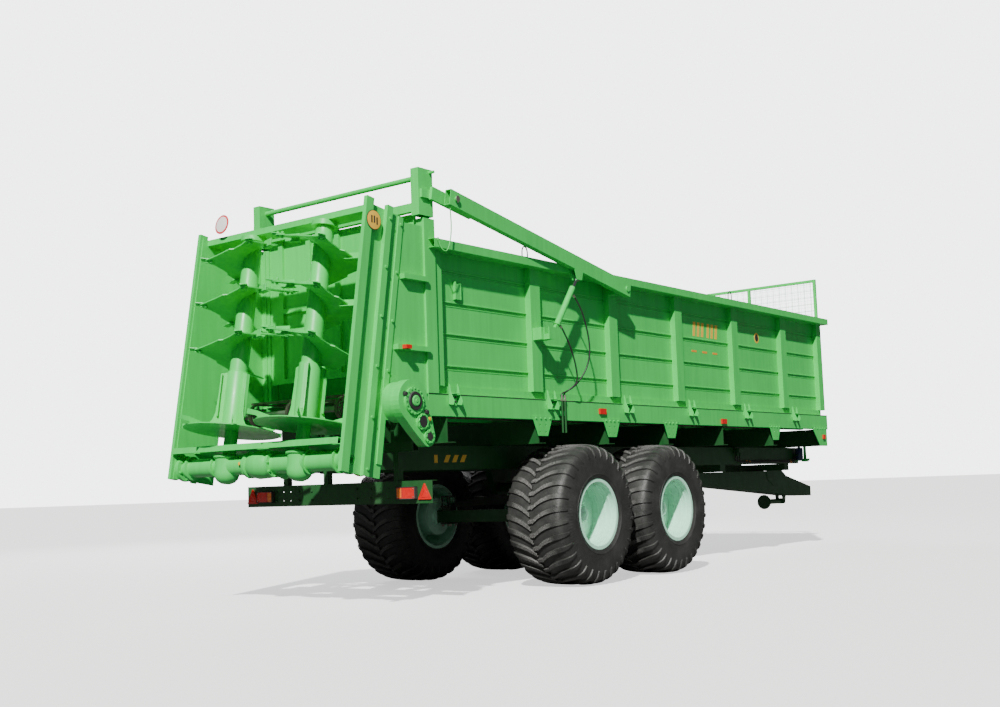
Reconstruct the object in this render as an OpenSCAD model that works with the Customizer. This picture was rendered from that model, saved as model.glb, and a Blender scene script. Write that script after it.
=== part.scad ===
// Tandem-axle spreader trailer: a long high-sided box with a moving floor, a lifting rear gate,
// two upright beaters in a leaning frame behind it, a rocking bogie and a cranked drawbar.
// X points forward, Y to the left and Z up. Sizes are in millimetres.
// Inside each module X is counted forward from the rear end of the top rails.

/* [Box] */
// Length of the top rails
rail_len = 8820; // [6600:20:10400]
// Width over the top rails
rail_span = 2400; // [2320:10:2600]
// Height of the rails' top above the ground
rail_top = 3310; // [2900:10:3500]
// Depth of the rail section
rail_depth = 83; // [60:1:120]
// Width between the inner faces of the side walls
box_inner_w = 2042; // [1980:2:2060]
// Depth of the side wall section, sheet and planks together
wall_t = 9; // [5:1:14]
// Height of the floor's top above the ground
floor_top = 1900; // [1860:5:1960]
// Thickness of the floor sheet
floor_t = 4; // [3:1:8]
// Height of the side beam under the wall
side_beam_h = 206; // [160:2:220]
// Width of the side beam
side_beam_w = 80; // [60:2:110]
// Height of each groove pressed into the wall
groove_h = 30; // [15:1:45]
// Distance between the wall's grooves
groove_pitch = 300; // [240:5:340]
// Width of a side post
post_w = 164; // [120:2:200]
// Depth of a side post
post_d = 70; // [50:1:90]
// Distance between side posts
post_pitch = 1455; // [1300:5:1500]
// Place of the rearmost side post
first_post_x = 1660; // [1500:5:1700]

/* [Gate] */
// Height that the gate opens
gate_travel = 800; // [600:10:1000]
// Height of the gate's lower edge
gate_bottom = 2120; // [2050:10:2400]
// Thickness of the gate sheet
gate_t = 5; // [3:1:8]
// Width of a rear corner post
rear_post_w = 145; // [100:5:160]
// Height of the rear corner post's top
rear_post_top = 3500; // [3400:10:3600]
// Height of the gate risers' top
riser_top = 3960; // [3850:10:4100]
// Diameter of the tie pipe between the risers
tie_d = 50; // [30:2:70]

/* [Lift arms] */
// Depth of the arm tube
arm_h = 150; // [110:2:170]
// Width of the arm tube
arm_w = 70; // [50:2:80]
// Place of the arm's pivot
arm_pivot_x = 3160; // [3120:5:3240]
// Height of the arm's pivot
arm_pivot_z = 3160; // [3120:5:3175]
// Place of the pin at the arm's rear end
arm_tip_x = 235; // [200:5:300]
// Height of the pin at the arm's rear end
arm_tip_z = 3690; // [3660:5:3720]
// Diameter of the arm's pivot pin
arm_pivot_d = 50; // [36:2:60]
// Diameter of the pin that lifts the gate
tip_pin_d = 36; // [24:2:44]
// Place of the cylinder's lower pin
ram_low_x = 1774; // [1765:1:1800]
// Height of the cylinder's lower pin
ram_low_z = 2588; // [2560:2:2620]
// Place of the cylinder's upper pin
ram_top_x = 2225; // [2200:5:2260]
// Height of the cylinder's upper pin
ram_top_z = 3191; // [3170:1:3215]
// Outer diameter of the cylinder's barrel
ram_barrel_d = 64; // [56:2:68]
// Diameter of the cylinder's rod
ram_rod_d = 40; // [30:2:44]
// Diameter of the cylinder's pins
ram_pin_d = 40; // [30:2:44]

/* [Beaters] */
// Lean of the beater frame, top forward, in degrees
lean = 9.4; // [6:0.2:11]
// Place of the beater axes at the foot of the frame
beater_foot_x = -1036; // [-1080:2:-1000]
// Height of the beater axes' foot above the ground
beater_foot_z = 1250; // [1200:5:1300]
// Distance between the two beater axes
beater_gap = 964; // [950:2:990]
// Height of the frame along its lean
frame_h = 2300; // [2200:10:2340]
// Half width of the frame to the inner faces of its sides
frame_half_w = 1096; // [1090:1:1105]
// Diameter of the beater's upper tube
beater_tube_d = 170; // [140:2:180]
// Diameter of the beater's lower drum
beater_drum_d = 200; // [184:2:240]
// Diameter of the beater's flight
flight_d = 800; // [700:10:830]
// Distance that the flight climbs in one turn
flight_pitch = 435; // [380:5:460]
// Thickness of the flight
flight_t = 10; // [6:1:14]
// Diameter over the knives bolted to the flight
knife_d = 940; // [860:10:950]
// Diameter of the throwing disc under the beater
disc_d = 880; // [760:10:920]
// Thickness of the throwing disc
disc_t = 14; // [8:1:20]
// Diameter of the beater's end journals
journal_d = 60; // [40:2:70]
// Diameter of the gear tube across the foot of the frame
gear_tube_d = 170; // [140:2:190]

/* [Running gear] */
// Outer diameter of a tyre
tyre_d = 1440; // [1300:10:1480]
// Width of a tyre
tyre_w = 730; // [600:10:740]
// Distance from the centre line to a tyre's centre
tyre_centre_y = 1087; // [1080:1:1120]
// Diameter of the rim's flange
rim_flange_d = 720; // [640:5:760]
// Diameter of the rim's bead seat
rim_seat_d = 672; // [600:4:690]
// Thickness of the rim's barrel
rim_t = 9; // [6:1:14]
// Place of the rear axle
rear_axle_x = 2174; // [2100:5:2200]
// Distance between the two axles
axle_gap = 1584; // [1560:4:1700]
// Width and height of the square axle beam
axle_beam = 130; // [100:5:150]
// Diameter of the wheel spindle
spindle_d = 90; // [70:2:100]
// Diameter of the bogie's centre shaft
bogie_shaft_d = 100; // [80:2:110]
// Height of the bogie's centre shaft
bogie_shaft_z = 1020; // [1010:5:1060]
// Thickness of one spring leaf
leaf_t = 20; // [14:1:22]

/* [Chassis] */
// Height of a main chassis beam
chassis_h = 235; // [180:5:240]
// Width of a main chassis beam
chassis_w = 80; // [60:2:100]
// Half distance between the main chassis beams' inner faces
chassis_half_gap = 430; // [380:5:460]
// Height of a main chassis beam's top
chassis_top = 1450; // [1440:2:1460]
// Wall thickness of the chassis tubes
tube_wall = 8; // [5:1:12]
// Width of the drawbar box
drawbar_w = 300; // [220:10:340]
// Bore of the towing eye
eye_bore_d = 50; // [40:1:58]
// Outer diameter of the towing eye
eye_d = 130; // [110:2:150]
// Thickness of the towing eye
eye_t = 45; // [30:1:60]
// Length of the parking jack from its pivot to its foot
jack_len = 570; // [520:5:580]
// Diameter of the parking jack's foot
jack_foot_d = 216; // [160:4:220]

/* [Moving floor] */
// Place of the conveyor's driven shaft
drive_shaft_x = -330; // [-345:5:-310]
// Diameter of the conveyor's driven shaft
drive_shaft_d = 60; // [44:2:70]
// Thickness of a conveyor chain
chain_t = 14; // [10:1:16]
// Distance between conveyor slats
slat_pitch = 350; // [280:10:500]

/* [Hidden] */
$fn = 64;
fit = 0.05;
run_gap = 0.3;
side_gap = 4;
cut = 1;

// Box, heights from the ground and half widths from the centre line
rail_out = rail_span / 2;
rail_bottom = rail_top - rail_depth;
wall_in = box_inner_w / 2;
wall_out = wall_in + wall_t;
wall_sheet_t = 3;
post_out = wall_out + post_d;
post_wall = 4;
beam_top = floor_top - floor_t;
beam_bottom = beam_top - side_beam_h;
beam_out = post_out + 20;
beam_in = beam_out - side_beam_w;
beam_wall = 5;
flange_h = 75;
flange_out = wall_out + 32;
flange_top = beam_top + flange_h;
post_xs = [for (i = [0 : 4]) first_post_x + i * post_pitch];
front_post = [8620, 8770];
rear_x = -55;
front_x = rail_len - 120;
rear_post_front = rear_x + rear_post_w;
rear_post_out = wall_out + 96;
groove_first = rail_bottom - 177;
groove_count = 4;

// Gate
guide_t = 13;
guide_gap = 0.6;
gate_x = -30;
gate_half = wall_out - 25;
guide_in = wall_out - 45;
rib_d = 30;
rib_w = 60;
rib_ys = [-800, -400, 0, 400, 800];
head_beam = [-110, -50];
head_bottom = 3560;
head_top = 3640;
riser = [-116, 80];
riser_bottom = rear_post_top + 20;
riser_in = wall_out + 2;
riser_out = rear_post_out;
tie_x = -20;
tie_z = 3890;
stop_pin_d = 28;

// Lift arms, cylinders and yokes
arm_in = rail_out + side_gap;
arm_out = arm_in + arm_w;
arm_mid = (arm_in + arm_out) / 2;
arm_wall = 6;
arm_dx = arm_pivot_x - arm_tip_x;
arm_dz = arm_tip_z - arm_pivot_z;
arm_len = sqrt(arm_dx * arm_dx + arm_dz * arm_dz);
arm_angle = atan2(arm_dz, arm_dx);
arm_tail = 80;
arm_nose = 66;
yoke_angle = 10;
yoke_in = riser_out + 24;
yoke_t = 30;
yoke_half = 62;
slot_half = tip_pin_d / 2 + 12;
slot_back = 45;
arm_swing = asin((arm_dz + gate_travel) / arm_len) - arm_angle;
slot_front = arm_len * (cos(arm_angle) - cos(arm_angle + arm_swing)) / cos(yoke_angle) + 20;
yoke_back = 230;
yoke_front = slot_front + 50;
ram_dx = ram_top_x - ram_low_x;
ram_dz = ram_top_z - ram_low_z;
ram_len = sqrt(ram_dx * ram_dx + ram_dz * ram_dz);
ram_angle = atan2(ram_dz, ram_dx);
ram_eye_half = 17;
ram_eye_r = 34;
ram_cheek_t = 10;
ram_barrel = [78, 600];
ram_bore_start = 120;
ram_rod_start = 260;
rod_eye_slack = 12;
port_d = 24;
port_places = [110, 540];

// Beater frame, measured along and across its lean
frame_t = 8;
frame_out = frame_half_w + frame_t;
frame_u = [-120, 350];
frame_w = [-60, frame_h];
channel_u = [-150, -62];
channel_out = frame_out + 41;
channel_w = [-66, frame_h + 37];
flange_u = [110, 180];
flange_bar_t = 7;
strip_u = [290, 350];
strip_t = 12;
bolt_step = 445;
bolt_d = 26;
bolt_h = 14;
web_low = 1700;
web_high = 3420;
top_beam_u = [-60, 100];
top_beam_w = [frame_h - 60, frame_h];
hub_r = 120;
hub_h = 45;
beater_y = beater_gap / 2;
tube_w = 50;
gearhub_r = 150;
gearhub_w = [-70, 150];
gearbox_half = 170;
gearbox_u = 130;
gearbox_w = [-80, 190];
journal_len = 70;
beater_w = [gearhub_w[1] + 1, top_beam_w[0] - hub_h - 1];
disc_w = 372;
drum_top = 930;
flight_w = [940, 2150];
flight_turns = (flight_w[1] - flight_w[0]) / flight_pitch;
flight_step = 7.5;
knife_every = 45;
wing_count = 3;
wing_r = 360;
wing_h = 230;
paddle_count = 6;
paddle_h = 60;
beater_wall = 14;

// Side reducer and its covers
reducer_at = [[-489, 1794], [-389, 1616], [-306, 1489]];
reducer_r = [190, 130, 88];
reducer_face = frame_out + strip_t;
reducer_case = [reducer_face + 114, reducer_face + 214];
cover_r = [120, 74, 62];
cover_t = 18;

// Running gear
tyre_r = tyre_d / 2;
axle_z = tyre_r;
axle_xs = [rear_axle_x, rear_axle_x + axle_gap];
bogie_x = rear_axle_x + axle_gap / 2;
rim_flange_r = rim_flange_d / 2;
rim_seat_r = rim_seat_d / 2;
tyre_in = tyre_centre_y - tyre_w / 2;
tyre_out = tyre_centre_y + tyre_w / 2;
rim_in = tyre_in + 25;
rim_out = tyre_out - 25;
flange_t = 12;
rim_disc = [1118, 1130];
rim_disc_r = 105;
spindle_end = 1175;
hub_y = [700, 1180];
hub_cap = [1180, 1232];
hub_tube_r = 90;
hub_cap_r = 82;
drum_r = 205;
drum_y = [740, 900];
hub_flange_r = 150;
hub_flange_y = [1100, 1118];
axle_half = 696;
stud_r = 11;
stud_circle_r = 132;
stud_count = 10;
spring_y = [530, 620];
leaf_top = 920;
leaf_count = 5;
leaf_long = axle_gap / 2 + 90;
leaf_step = 120;
saddle_half = 110;
pad_half = 62;
carcass_t = 34;

// Chassis and drawbar
chassis_bottom = chassis_top - chassis_h;
chassis_out = chassis_half_gap + chassis_w;
chassis_x = [150, 9050];
bearer_xs = [260, 1675, 2960, 4237, 5600, 7020, 8560];
bearer_w = 120;
stringer_wall = 4;
gusset_xs = [1675, 2960, 4237, 7020];
gusset_t = 8;
gusset_top = 1725;
gusset_bottom = 1525;
gusset_top_half = 172;
gusset_bottom_half = 80;
gusset_hole_r = 9;
drawbar_rear = 6530;
drawbar_front = 10250;
drawbar_line = [[drawbar_rear, 1118], [9007, 1116], [drawbar_front, 857], [drawbar_front, 709], [9700, 725],
    [drawbar_rear, 960]];
drawbar_half = drawbar_w / 2;
drawbar_wall = 8;
eye_x = 10420;
eye_z = 783;
shank_r = 42;
jack_x = 9450;
jack_z = 650;
jack_pin_r = 15;
jack_sleeve_r = 38;
jack_tube_r = 30;
jack_cheek = [50, 62];
jack_foot_t = 12;
line_shaft_z = 1335;
line_shaft_r = 35;
line_shaft = [-760, 8980];
hanger_xs = [2960, 5600, 8560];

// Moving floor
sprocket_gap = 4;
drive_z = (floor_top + beam_bottom + chain_t + cut) / 2;
chain_r = floor_top - drive_z;
idler_x = rail_len - 400;
floor_front = idler_x - 130;
chain_ys = [-860, -330, 330, 860];
chain_w = 40;
slat_h = 22;
slat_w = 60;
slat_half = 1005;

// Lamps, signs and trim
light_bar_x = [-160, -90];
light_bar_z = [910, 1113];
light_bar_half = 1226;
light_bar_wall = 6;
strut_ys = [[650, 710], [90, 150], [-820, -760]];
lamp_y = [830, 1050];
lamp_z = [955, 1055];
lamp_t = 40;

// Hoses that hang between the cylinders and the pipes: points of the left side's two routes
hose_d = 16;
hose_low = [[1876.4, 1239, 2648.7], [1924, 1239, 2613], [2030, 1250, 2450], [2120, 1250, 2250],
    [2150, 1235, 2090], [2090, 1170, 2000], [2005, 1140, 1960], [2005, 1140, 1900]];
hose_high = [[2134, 1239, 2993], [2182, 1239, 2957], [2270, 1255, 2820], [2340, 1270, 2600],
    [2360, 1270, 2400], [2320, 1240, 2220], [2200, 1190, 2060], [2060, 1140, 1970], [2060, 1140, 1900]];
pipe_xs = [2005, 2060];
pipe_top = 1900;
pipe_bottom = 1560;
pipe_y = 1140;
pipe_r = 11;

// The origin lies on the ground, midway along the whole length
reach = disc_d / 2;
rear_end = beater_foot_x + disc_w * sin(lean) - reach * cos(lean);
front_end = eye_x + eye_d / 2;
mid_x = (rear_end + front_end) / 2;

green = [0.16, 0.62, 0.25];
dark_green = [0.08, 0.24, 0.12];
mint = [0.72, 0.93, 0.80];
steel = [0.62, 0.63, 0.65];
black = [0.06, 0.06, 0.06];
red = [0.80, 0.06, 0.04];

// Moves what is drawn into the frame whose origin is on the ground at mid length
module placed() {
    translate([-mid_x, 0, 0]) children();
}

// A box from one corner to the other, given as a span on each axis
module block(x, y, z) {
    translate([x[0], y[0], z[0]]) cube([x[1] - x[0], y[1] - y[0], z[1] - z[0]]);
}

// A rectangular tube, open at both ends, along X, Y or Z
module tube_x(x, y, z, wall) {
    difference() {
        block(x, y, z);
        block([x[0] - cut, x[1] + cut], [y[0] + wall, y[1] - wall], [z[0] + wall, z[1] - wall]);
    }
}

module tube_y(x, y, z, wall) {
    difference() {
        block(x, y, z);
        block([x[0] + wall, x[1] - wall], [y[0] - cut, y[1] + cut], [z[0] + wall, z[1] - wall]);
    }
}

module tube_z(x, y, z, wall) {
    difference() {
        block(x, y, z);
        block([x[0] + wall, x[1] - wall], [y[0] + wall, y[1] - wall], [z[0] - cut, z[1] + cut]);
    }
}

// A round bar along Y through a point of the side view
module bar_y(at, r, y) {
    translate([at[0], y[0], at[1]]) rotate([-90, 0, 0]) cylinder(h = y[1] - y[0], r = r);
}

// A round bar along Z or X
module bar_z(at, r, z) {
    translate([at[0], at[1], z[0]]) cylinder(h = z[1] - z[0], r = r);
}

module bar_x(at, r, x) {
    translate([x[0], at[0], at[1]]) rotate([0, 90, 0]) cylinder(h = x[1] - x[0], r = r);
}

// A plate drawn in the side view, X across and Z up, with a span along Y
module side_plate(outline, y) {
    translate([0, y[1], 0]) rotate([90, 0, 0]) linear_extrude(y[1] - y[0]) polygon(outline);
}

module both_sides() {
    children();
    mirror([0, 1, 0]) children();
}

// Draws a left-hand piece on its own side, or mirrored to the right
module on_side(side) {
    if (side == "left") children();
    else mirror([0, 1, 0]) children();
}

// The frame of the beaters: X across the lean, Z along it, from the beater axes' foot
module leaning() {
    translate([beater_foot_x, 0, beater_foot_z]) rotate([0, lean, 0]) children();
}

function lean_x(u, w) = beater_foot_x + u * cos(lean) + w * sin(lean);
function lean_z(u, w) = beater_foot_z - u * sin(lean) + w * cos(lean);
function lean_w(u, z) = (z - beater_foot_z + u * sin(lean)) / cos(lean);

// Chassis

module chassis_beams() {
    color(dark_green) placed() both_sides()
        tube_x(chassis_x, [chassis_half_gap, chassis_out], [chassis_bottom, chassis_top], tube_wall);
}

module cross_bearers() {
    half = beam_out - gusset_t;
    color(dark_green) placed() for (x = bearer_xs) {
        difference() {
            block([x - bearer_w / 2, x + bearer_w / 2], [-half, half], [chassis_top, beam_bottom]);
            block([x - bearer_w / 2 + tube_wall, x + bearer_w], [-half - cut, half + cut],
                [chassis_top + tube_wall, beam_bottom - tube_wall]);
        }
    }
}

module floor_beams() {
    color(green) placed() both_sides() {
        tube_x([rear_x, rail_len - 40], [beam_in, beam_out], [beam_bottom, beam_top], beam_wall);
        tube_x([100, floor_front], [chassis_half_gap, chassis_out], [beam_bottom, beam_top], stringer_wall);
    }
}

module floor_deck() {
    color(steel) placed() block([rear_x, floor_front], [-wall_in, wall_in], [beam_top, floor_top]);
}

module gusset_plates() {
    front = [[8217, gusset_top], [8724, gusset_top], [8720, 1447], [8471, 1447]];
    color(green) placed() both_sides() {
        for (x = gusset_xs) difference() {
            side_plate([[x - gusset_top_half, gusset_top], [x + gusset_top_half, gusset_top],
                [x + gusset_bottom_half, gusset_bottom], [x - gusset_bottom_half, gusset_bottom]],
                [beam_out, beam_out + gusset_t]);
            for (dx = [-50, 50]) for (dz = [40, 110])
                bar_y([x + dx, gusset_bottom + dz], gusset_hole_r, [beam_out - cut, beam_out + gusset_t + cut]);
        }
        side_plate(front, [beam_out, beam_out + gusset_t]);
    }
}

// Box

module side_walls() {
    lows = [for (i = [0 : groove_count - 1]) groove_first - i * groove_pitch];
    x = [rear_post_front, front_x];
    color(green) placed() both_sides() {
        union() {
            block(x, [wall_in, wall_in + wall_sheet_t], [beam_top, rail_bottom]);
            block(x, [wall_in, flange_out], [beam_top, flange_top]);
            for (i = [0 : groove_count]) {
                top = i == 0 ? rail_bottom : lows[i - 1] - groove_h / 2;
                low = i == groove_count ? beam_top : lows[i] + groove_h / 2;
                block(x, [wall_in, wall_out], [low, top]);
            }
        }
    }
}

// One post with its pointed foot plates
module side_post(x) {
    foot_t = 8;
    foot = [x + post_w / 2 + 6, x + post_w / 2 + 150];
    tube_z([x - post_w / 2, x + post_w / 2], [wall_out, post_out], [flange_top, rail_bottom], post_wall);
    side_plate([[foot[0], beam_top], [foot[1], beam_top], [foot[1], beam_top - 60],
        [foot[1] - 25, beam_top - 110], [foot[1] - 50, beam_top - 60], [foot[0] + 50, beam_top - 60],
        [foot[0] + 25, beam_top - 110], [foot[0], beam_top - 60]], [beam_out, beam_out + foot_t]);
}

module side_posts() {
    color(green) placed() both_sides() {
        for (x = post_xs) side_post(x);
        tube_z(front_post, [wall_out, post_out], [flange_top, rail_bottom], post_wall);
        tube_z([rear_post_front, rear_post_front + 110], [wall_out, post_out],
            [flange_top, rail_bottom], post_wall);
    }
}

module top_rails() {
    color(green) placed() both_sides() difference() {
        tube_x([0, rail_len], [wall_in, rail_out], [rail_bottom, rail_top], post_wall);
        block([rear_x - cut, rear_post_front], [wall_in - cut, rear_post_out + run_gap],
            [rail_bottom - cut, rail_top + cut]);
    }
}

module front_wall() {
    sheet_t = 5;
    rib = [60, 60];
    color(green) placed() {
        block([front_x, front_x + sheet_t], [-wall_in, wall_in], [beam_top, rail_top]);
        for (y = [-780, -260, 260, 780])
            tube_z([front_x + sheet_t, front_x + sheet_t + rib[0]], [y - rib[1] / 2, y + rib[1] / 2],
                [beam_top, rail_top], post_wall);
        block([floor_front - 60, front_x], [-wall_in, wall_in], [floor_top + 70, floor_top + 75]);
    }
}

module front_guard() {
    bar = 40;
    x = [front_x + 20, front_x + 20 + bar];
    half = 1080;
    top = 3913;
    cell = 100;
    wire = 4;
    mid = (x[0] + x[1]) / 2;
    color(green) placed() {
        difference() {
            block(x, [-half, half], [rail_top, top]);
            for (y = [[-half + bar, -bar / 2], [bar / 2, half - bar]])
                block([x[0] - cut, x[1] + cut], y, [rail_top + bar, top - bar]);
        }
        for (s = [-1, 1]) {
            for (i = [1 : floor((half - bar) / cell)])
                block([mid - wire, mid], [s * i * cell - wire / 2, s * i * cell + wire / 2],
                    [rail_top + bar, top - bar]);
        }
        for (i = [1 : floor((top - rail_top - 2 * bar) / cell)]) for (y = [[-half + bar, -bar / 2],
            [bar / 2, half - bar]])
            block([mid, mid + wire], y,
                [rail_top + bar + i * cell - wire / 2, rail_top + bar + i * cell + wire / 2]);
    }
}

// Gate

module rear_posts() {
    color(green) placed() both_sides() {
        tube_z([rear_x, rear_post_front], [wall_out, rear_post_out], [beam_top, rear_post_top], 6);
        for (x = [gate_x - guide_gap - guide_t, gate_x + gate_t + guide_gap])
            block([x, x + guide_t], [guide_in, wall_out], [floor_top, rear_post_top]);
    }
}

module gate_sheet() {
    color(green) placed() {
        block([gate_x, gate_x + gate_t], [-gate_half, gate_half], [gate_bottom, head_bottom]);
        for (y = rib_ys)
            tube_z([gate_x - rib_d, gate_x], [y - rib_w / 2, y + rib_w / 2], [gate_bottom, head_bottom], 4);
        for (z = [gate_bottom, gate_bottom + 700])
            for (i = [0 : len(rib_ys) - 2])
                block([gate_x - rib_d, gate_x], [rib_ys[i] + rib_w / 2, rib_ys[i + 1] - rib_w / 2], [z, z + 50]);
    }
}

module gate_head() {
    color(green) placed() {
        tube_y(head_beam, [-riser_in, riser_in], [head_bottom, head_top], 5);
        both_sides() {
            tube_z(riser, [riser_in, riser_out], [riser_bottom, riser_top], 6);
            bar_y([riser[1] - 40, riser_top - 30], stop_pin_d / 2, [riser_out, riser_out + 55]);
        }
        bar_y([tie_x, tie_z], tie_d / 2, [-riser_in, riser_in]);
    }
}

// A plate whose slot lies along the arm, so the arm's pin can slide as the gate goes up
module gate_yokes() {
    color(green) placed() both_sides() {
        translate([arm_tip_x, yoke_in + yoke_t, arm_tip_z]) rotate([90, yoke_angle, 0])
            linear_extrude(yoke_t) difference() {
                translate([-yoke_back, -yoke_half]) square([yoke_back + yoke_front, 2 * yoke_half]);
                translate([-slot_back, -slot_half]) square([slot_back + slot_front, 2 * slot_half]);
            }
        block([riser[0] + 20, riser[1] - 20], [riser_out, yoke_in + cut], [arm_tip_z - 10, arm_tip_z + 70]);
    }
}

// Lift arms

// The arm's own frame: X runs from the pivot towards the rear tip
module along_arm() {
    translate([arm_pivot_x, 0, arm_pivot_z]) rotate([0, 180 + arm_angle, 0]) children();
}

module lift_arm(side) {
    cheek = [[ram_top_x - 110, 3340], [ram_top_x + 90, 3300], [ram_top_x + 42, ram_top_z - 34],
        [ram_top_x - 42, ram_top_z - 34]];
    color(green) placed() on_side(side) {
        difference() {
            union() {
                along_arm() rotate([180, 0, 0]) translate([0, -arm_out, 0]) difference() {
                    block([-arm_nose, arm_len + arm_tail], [0, arm_w], [-arm_h / 2, arm_h / 2]);
                    block([-arm_nose - cut, arm_len + arm_tail + cut], [arm_wall, arm_w - arm_wall],
                        [-arm_h / 2 + arm_wall, arm_h / 2 - arm_wall]);
                }
                for (y = [arm_in, arm_out - ram_cheek_t]) side_plate(cheek, [y, y + ram_cheek_t]);
                bar_y([ram_top_x, ram_top_z], ram_pin_d / 2, [arm_in, arm_out]);
            }
            bar_y([arm_pivot_x, arm_pivot_z], arm_pivot_d / 2 + fit, [arm_in - cut, arm_out + cut]);
            bar_y([arm_tip_x, arm_tip_z], tip_pin_d / 2 + fit, [arm_in - cut, arm_out + cut]);
        }
        bar_y([arm_tip_x, arm_tip_z], tip_pin_d / 2, [yoke_in - 6, arm_out + 10]);
        bar_y([arm_tip_x, arm_tip_z], tip_pin_d / 2 + 8, [arm_out + 10, arm_out + 22]);
    }
}

module lift_brackets() {
    head_t = 12;
    color(green) placed() both_sides() {
        block([arm_pivot_x - 140, arm_pivot_x + 60], [post_out, arm_in - 6], [arm_pivot_z - 65, rail_bottom]);
        bar_y([arm_pivot_x, arm_pivot_z], arm_pivot_d / 2, [arm_in - 6, arm_out + run_gap]);
        bar_y([arm_pivot_x, arm_pivot_z], arm_pivot_d / 2 + 8,
            [arm_out + run_gap, arm_out + run_gap + head_t]);
        block([first_post_x - 60, first_post_x + post_w / 2], [post_out, arm_in],
            [ram_low_z - 95, ram_low_z + 30]);
        block([first_post_x - 20, first_post_x + 50], [arm_in, arm_out], [ram_low_z - 95, ram_low_z - 40]);
        for (y = [arm_in, arm_out - ram_cheek_t])
            side_plate([[first_post_x - 20, ram_low_z - 95], [first_post_x + 60, ram_low_z - 95],
                [ram_low_x + 36, ram_low_z - 20], [ram_low_x + 36, ram_low_z + 30],
                [first_post_x - 20, ram_low_z + 30]], [y, y + ram_cheek_t]);
        bar_y([ram_low_x, ram_low_z], ram_pin_d / 2, [arm_in, arm_out]);
    }
}

// The cylinder's own frame: Z runs from the lower pin to the upper pin
module along_ram() {
    translate([ram_low_x, arm_mid, ram_low_z]) rotate([0, 90 - ram_angle, 0]) children();
}

module ram_barrel(side) {
    color(green) placed() on_side(side) along_ram() {
        difference() {
            union() {
                translate([0, -ram_eye_half, 0]) rotate([-90, 0, 0])
                    cylinder(h = 2 * ram_eye_half, r = ram_eye_r);
                block([-ram_eye_half, ram_eye_half], [-ram_eye_half, ram_eye_half],
                    [ram_eye_half, ram_barrel[0] + cut]);
                translate([0, 0, ram_barrel[0]]) cylinder(h = ram_barrel[1] - ram_barrel[0],
                    r = ram_barrel_d / 2);
                for (z = port_places) translate([ram_barrel_d / 2 - 4, 0, z]) rotate([0, 90, 0])
                    cylinder(h = 16, r = port_d / 2);
            }
            translate([0, -ram_eye_half - cut, 0]) rotate([-90, 0, 0])
                cylinder(h = 2 * ram_eye_half + 2 * cut, r = ram_pin_d / 2 + fit);
            translate([0, 0, ram_bore_start]) cylinder(h = ram_barrel[1], r = ram_rod_d / 2 + fit);
        }
    }
}

module ram_rod(side) {
    color(steel) placed() on_side(side) along_ram() {
        difference() {
            union() {
                translate([0, 0, ram_rod_start]) cylinder(h = ram_len - ram_rod_start - 30, r = ram_rod_d / 2);
                translate([0, -ram_eye_half, ram_len]) rotate([-90, 0, 0])
                    cylinder(h = 2 * ram_eye_half, r = ram_eye_r + rod_eye_slack);
            }
            translate([0, -ram_eye_half - cut, ram_len]) rotate([-90, 0, 0])
                cylinder(h = 2 * ram_eye_half + 2 * cut, r = ram_pin_d / 2 + rod_eye_slack);
        }
    }
}

module hydraulic_pipes() {
    clip = 70;
    color(green) placed() both_sides() {
        for (x = pipe_xs) bar_z([x, pipe_y], pipe_r, [pipe_bottom, pipe_top]);
        for (z = [1800, 1700]) block([pipe_xs[0] - 30, pipe_xs[1] + 30], [beam_out, pipe_y - pipe_r], [z, z + clip / 2]);
    }
}

// A round hose swept along its points, with a ring of corners square to the way at each place
function unit(v) = v / norm(v);
function smooth_at(p, t) = let (n = len(p) - 1, i = min(floor(t), n - 1), f = t - i,
    a = p[max(i - 1, 0)], b = p[i], c = p[i + 1], d = p[min(i + 2, n)])
    0.5 * (2 * b + (c - a) * f + (2 * a - 5 * b + 4 * c - d) * f * f
    + (3 * b - a - 3 * c + d) * f * f * f);

module hose(points) {
    sides = 8;
    per_span = 5;
    rings = (len(points) - 1) * per_span;
    way = [for (i = [0 : rings]) smooth_at(points, i / per_span)];
    corners = [for (i = [0 : rings]) let (ahead = unit(way[min(i + 1, rings)] - way[max(i - 1, 0)]),
        across = unit(cross(ahead, [0.2, 1, 0.1])), up = cross(ahead, across))
        for (k = [0 : sides - 1]) way[i]
            + hose_d / 2 * (cos(k * 360 / sides) * across + sin(k * 360 / sides) * up)];
    skins = [for (i = [0 : rings - 1]) for (k = [0 : sides - 1]) let (n = (k + 1) % sides)
        [i * sides + k, i * sides + n, (i + 1) * sides + n, (i + 1) * sides + k]];
    polyhedron(corners, concat([[for (k = [sides - 1 : -1 : 0]) k]],
        [[for (k = [0 : sides - 1]) rings * sides + k]], skins));
}

module hose_low(side) {
    color(black) placed() on_side(side) hose(hose_low);
}

module hose_high(side) {
    color(black) placed() on_side(side) hose(hose_high);
}

// Beater frame

module frame_sides() {
    color(green) placed() leaning() both_sides() difference() {
        block(frame_u, [frame_half_w, frame_out], frame_w);
        bar_y([0, tube_w], gear_tube_d / 4, [frame_half_w - cut, frame_out + cut]);
    }
}

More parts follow.
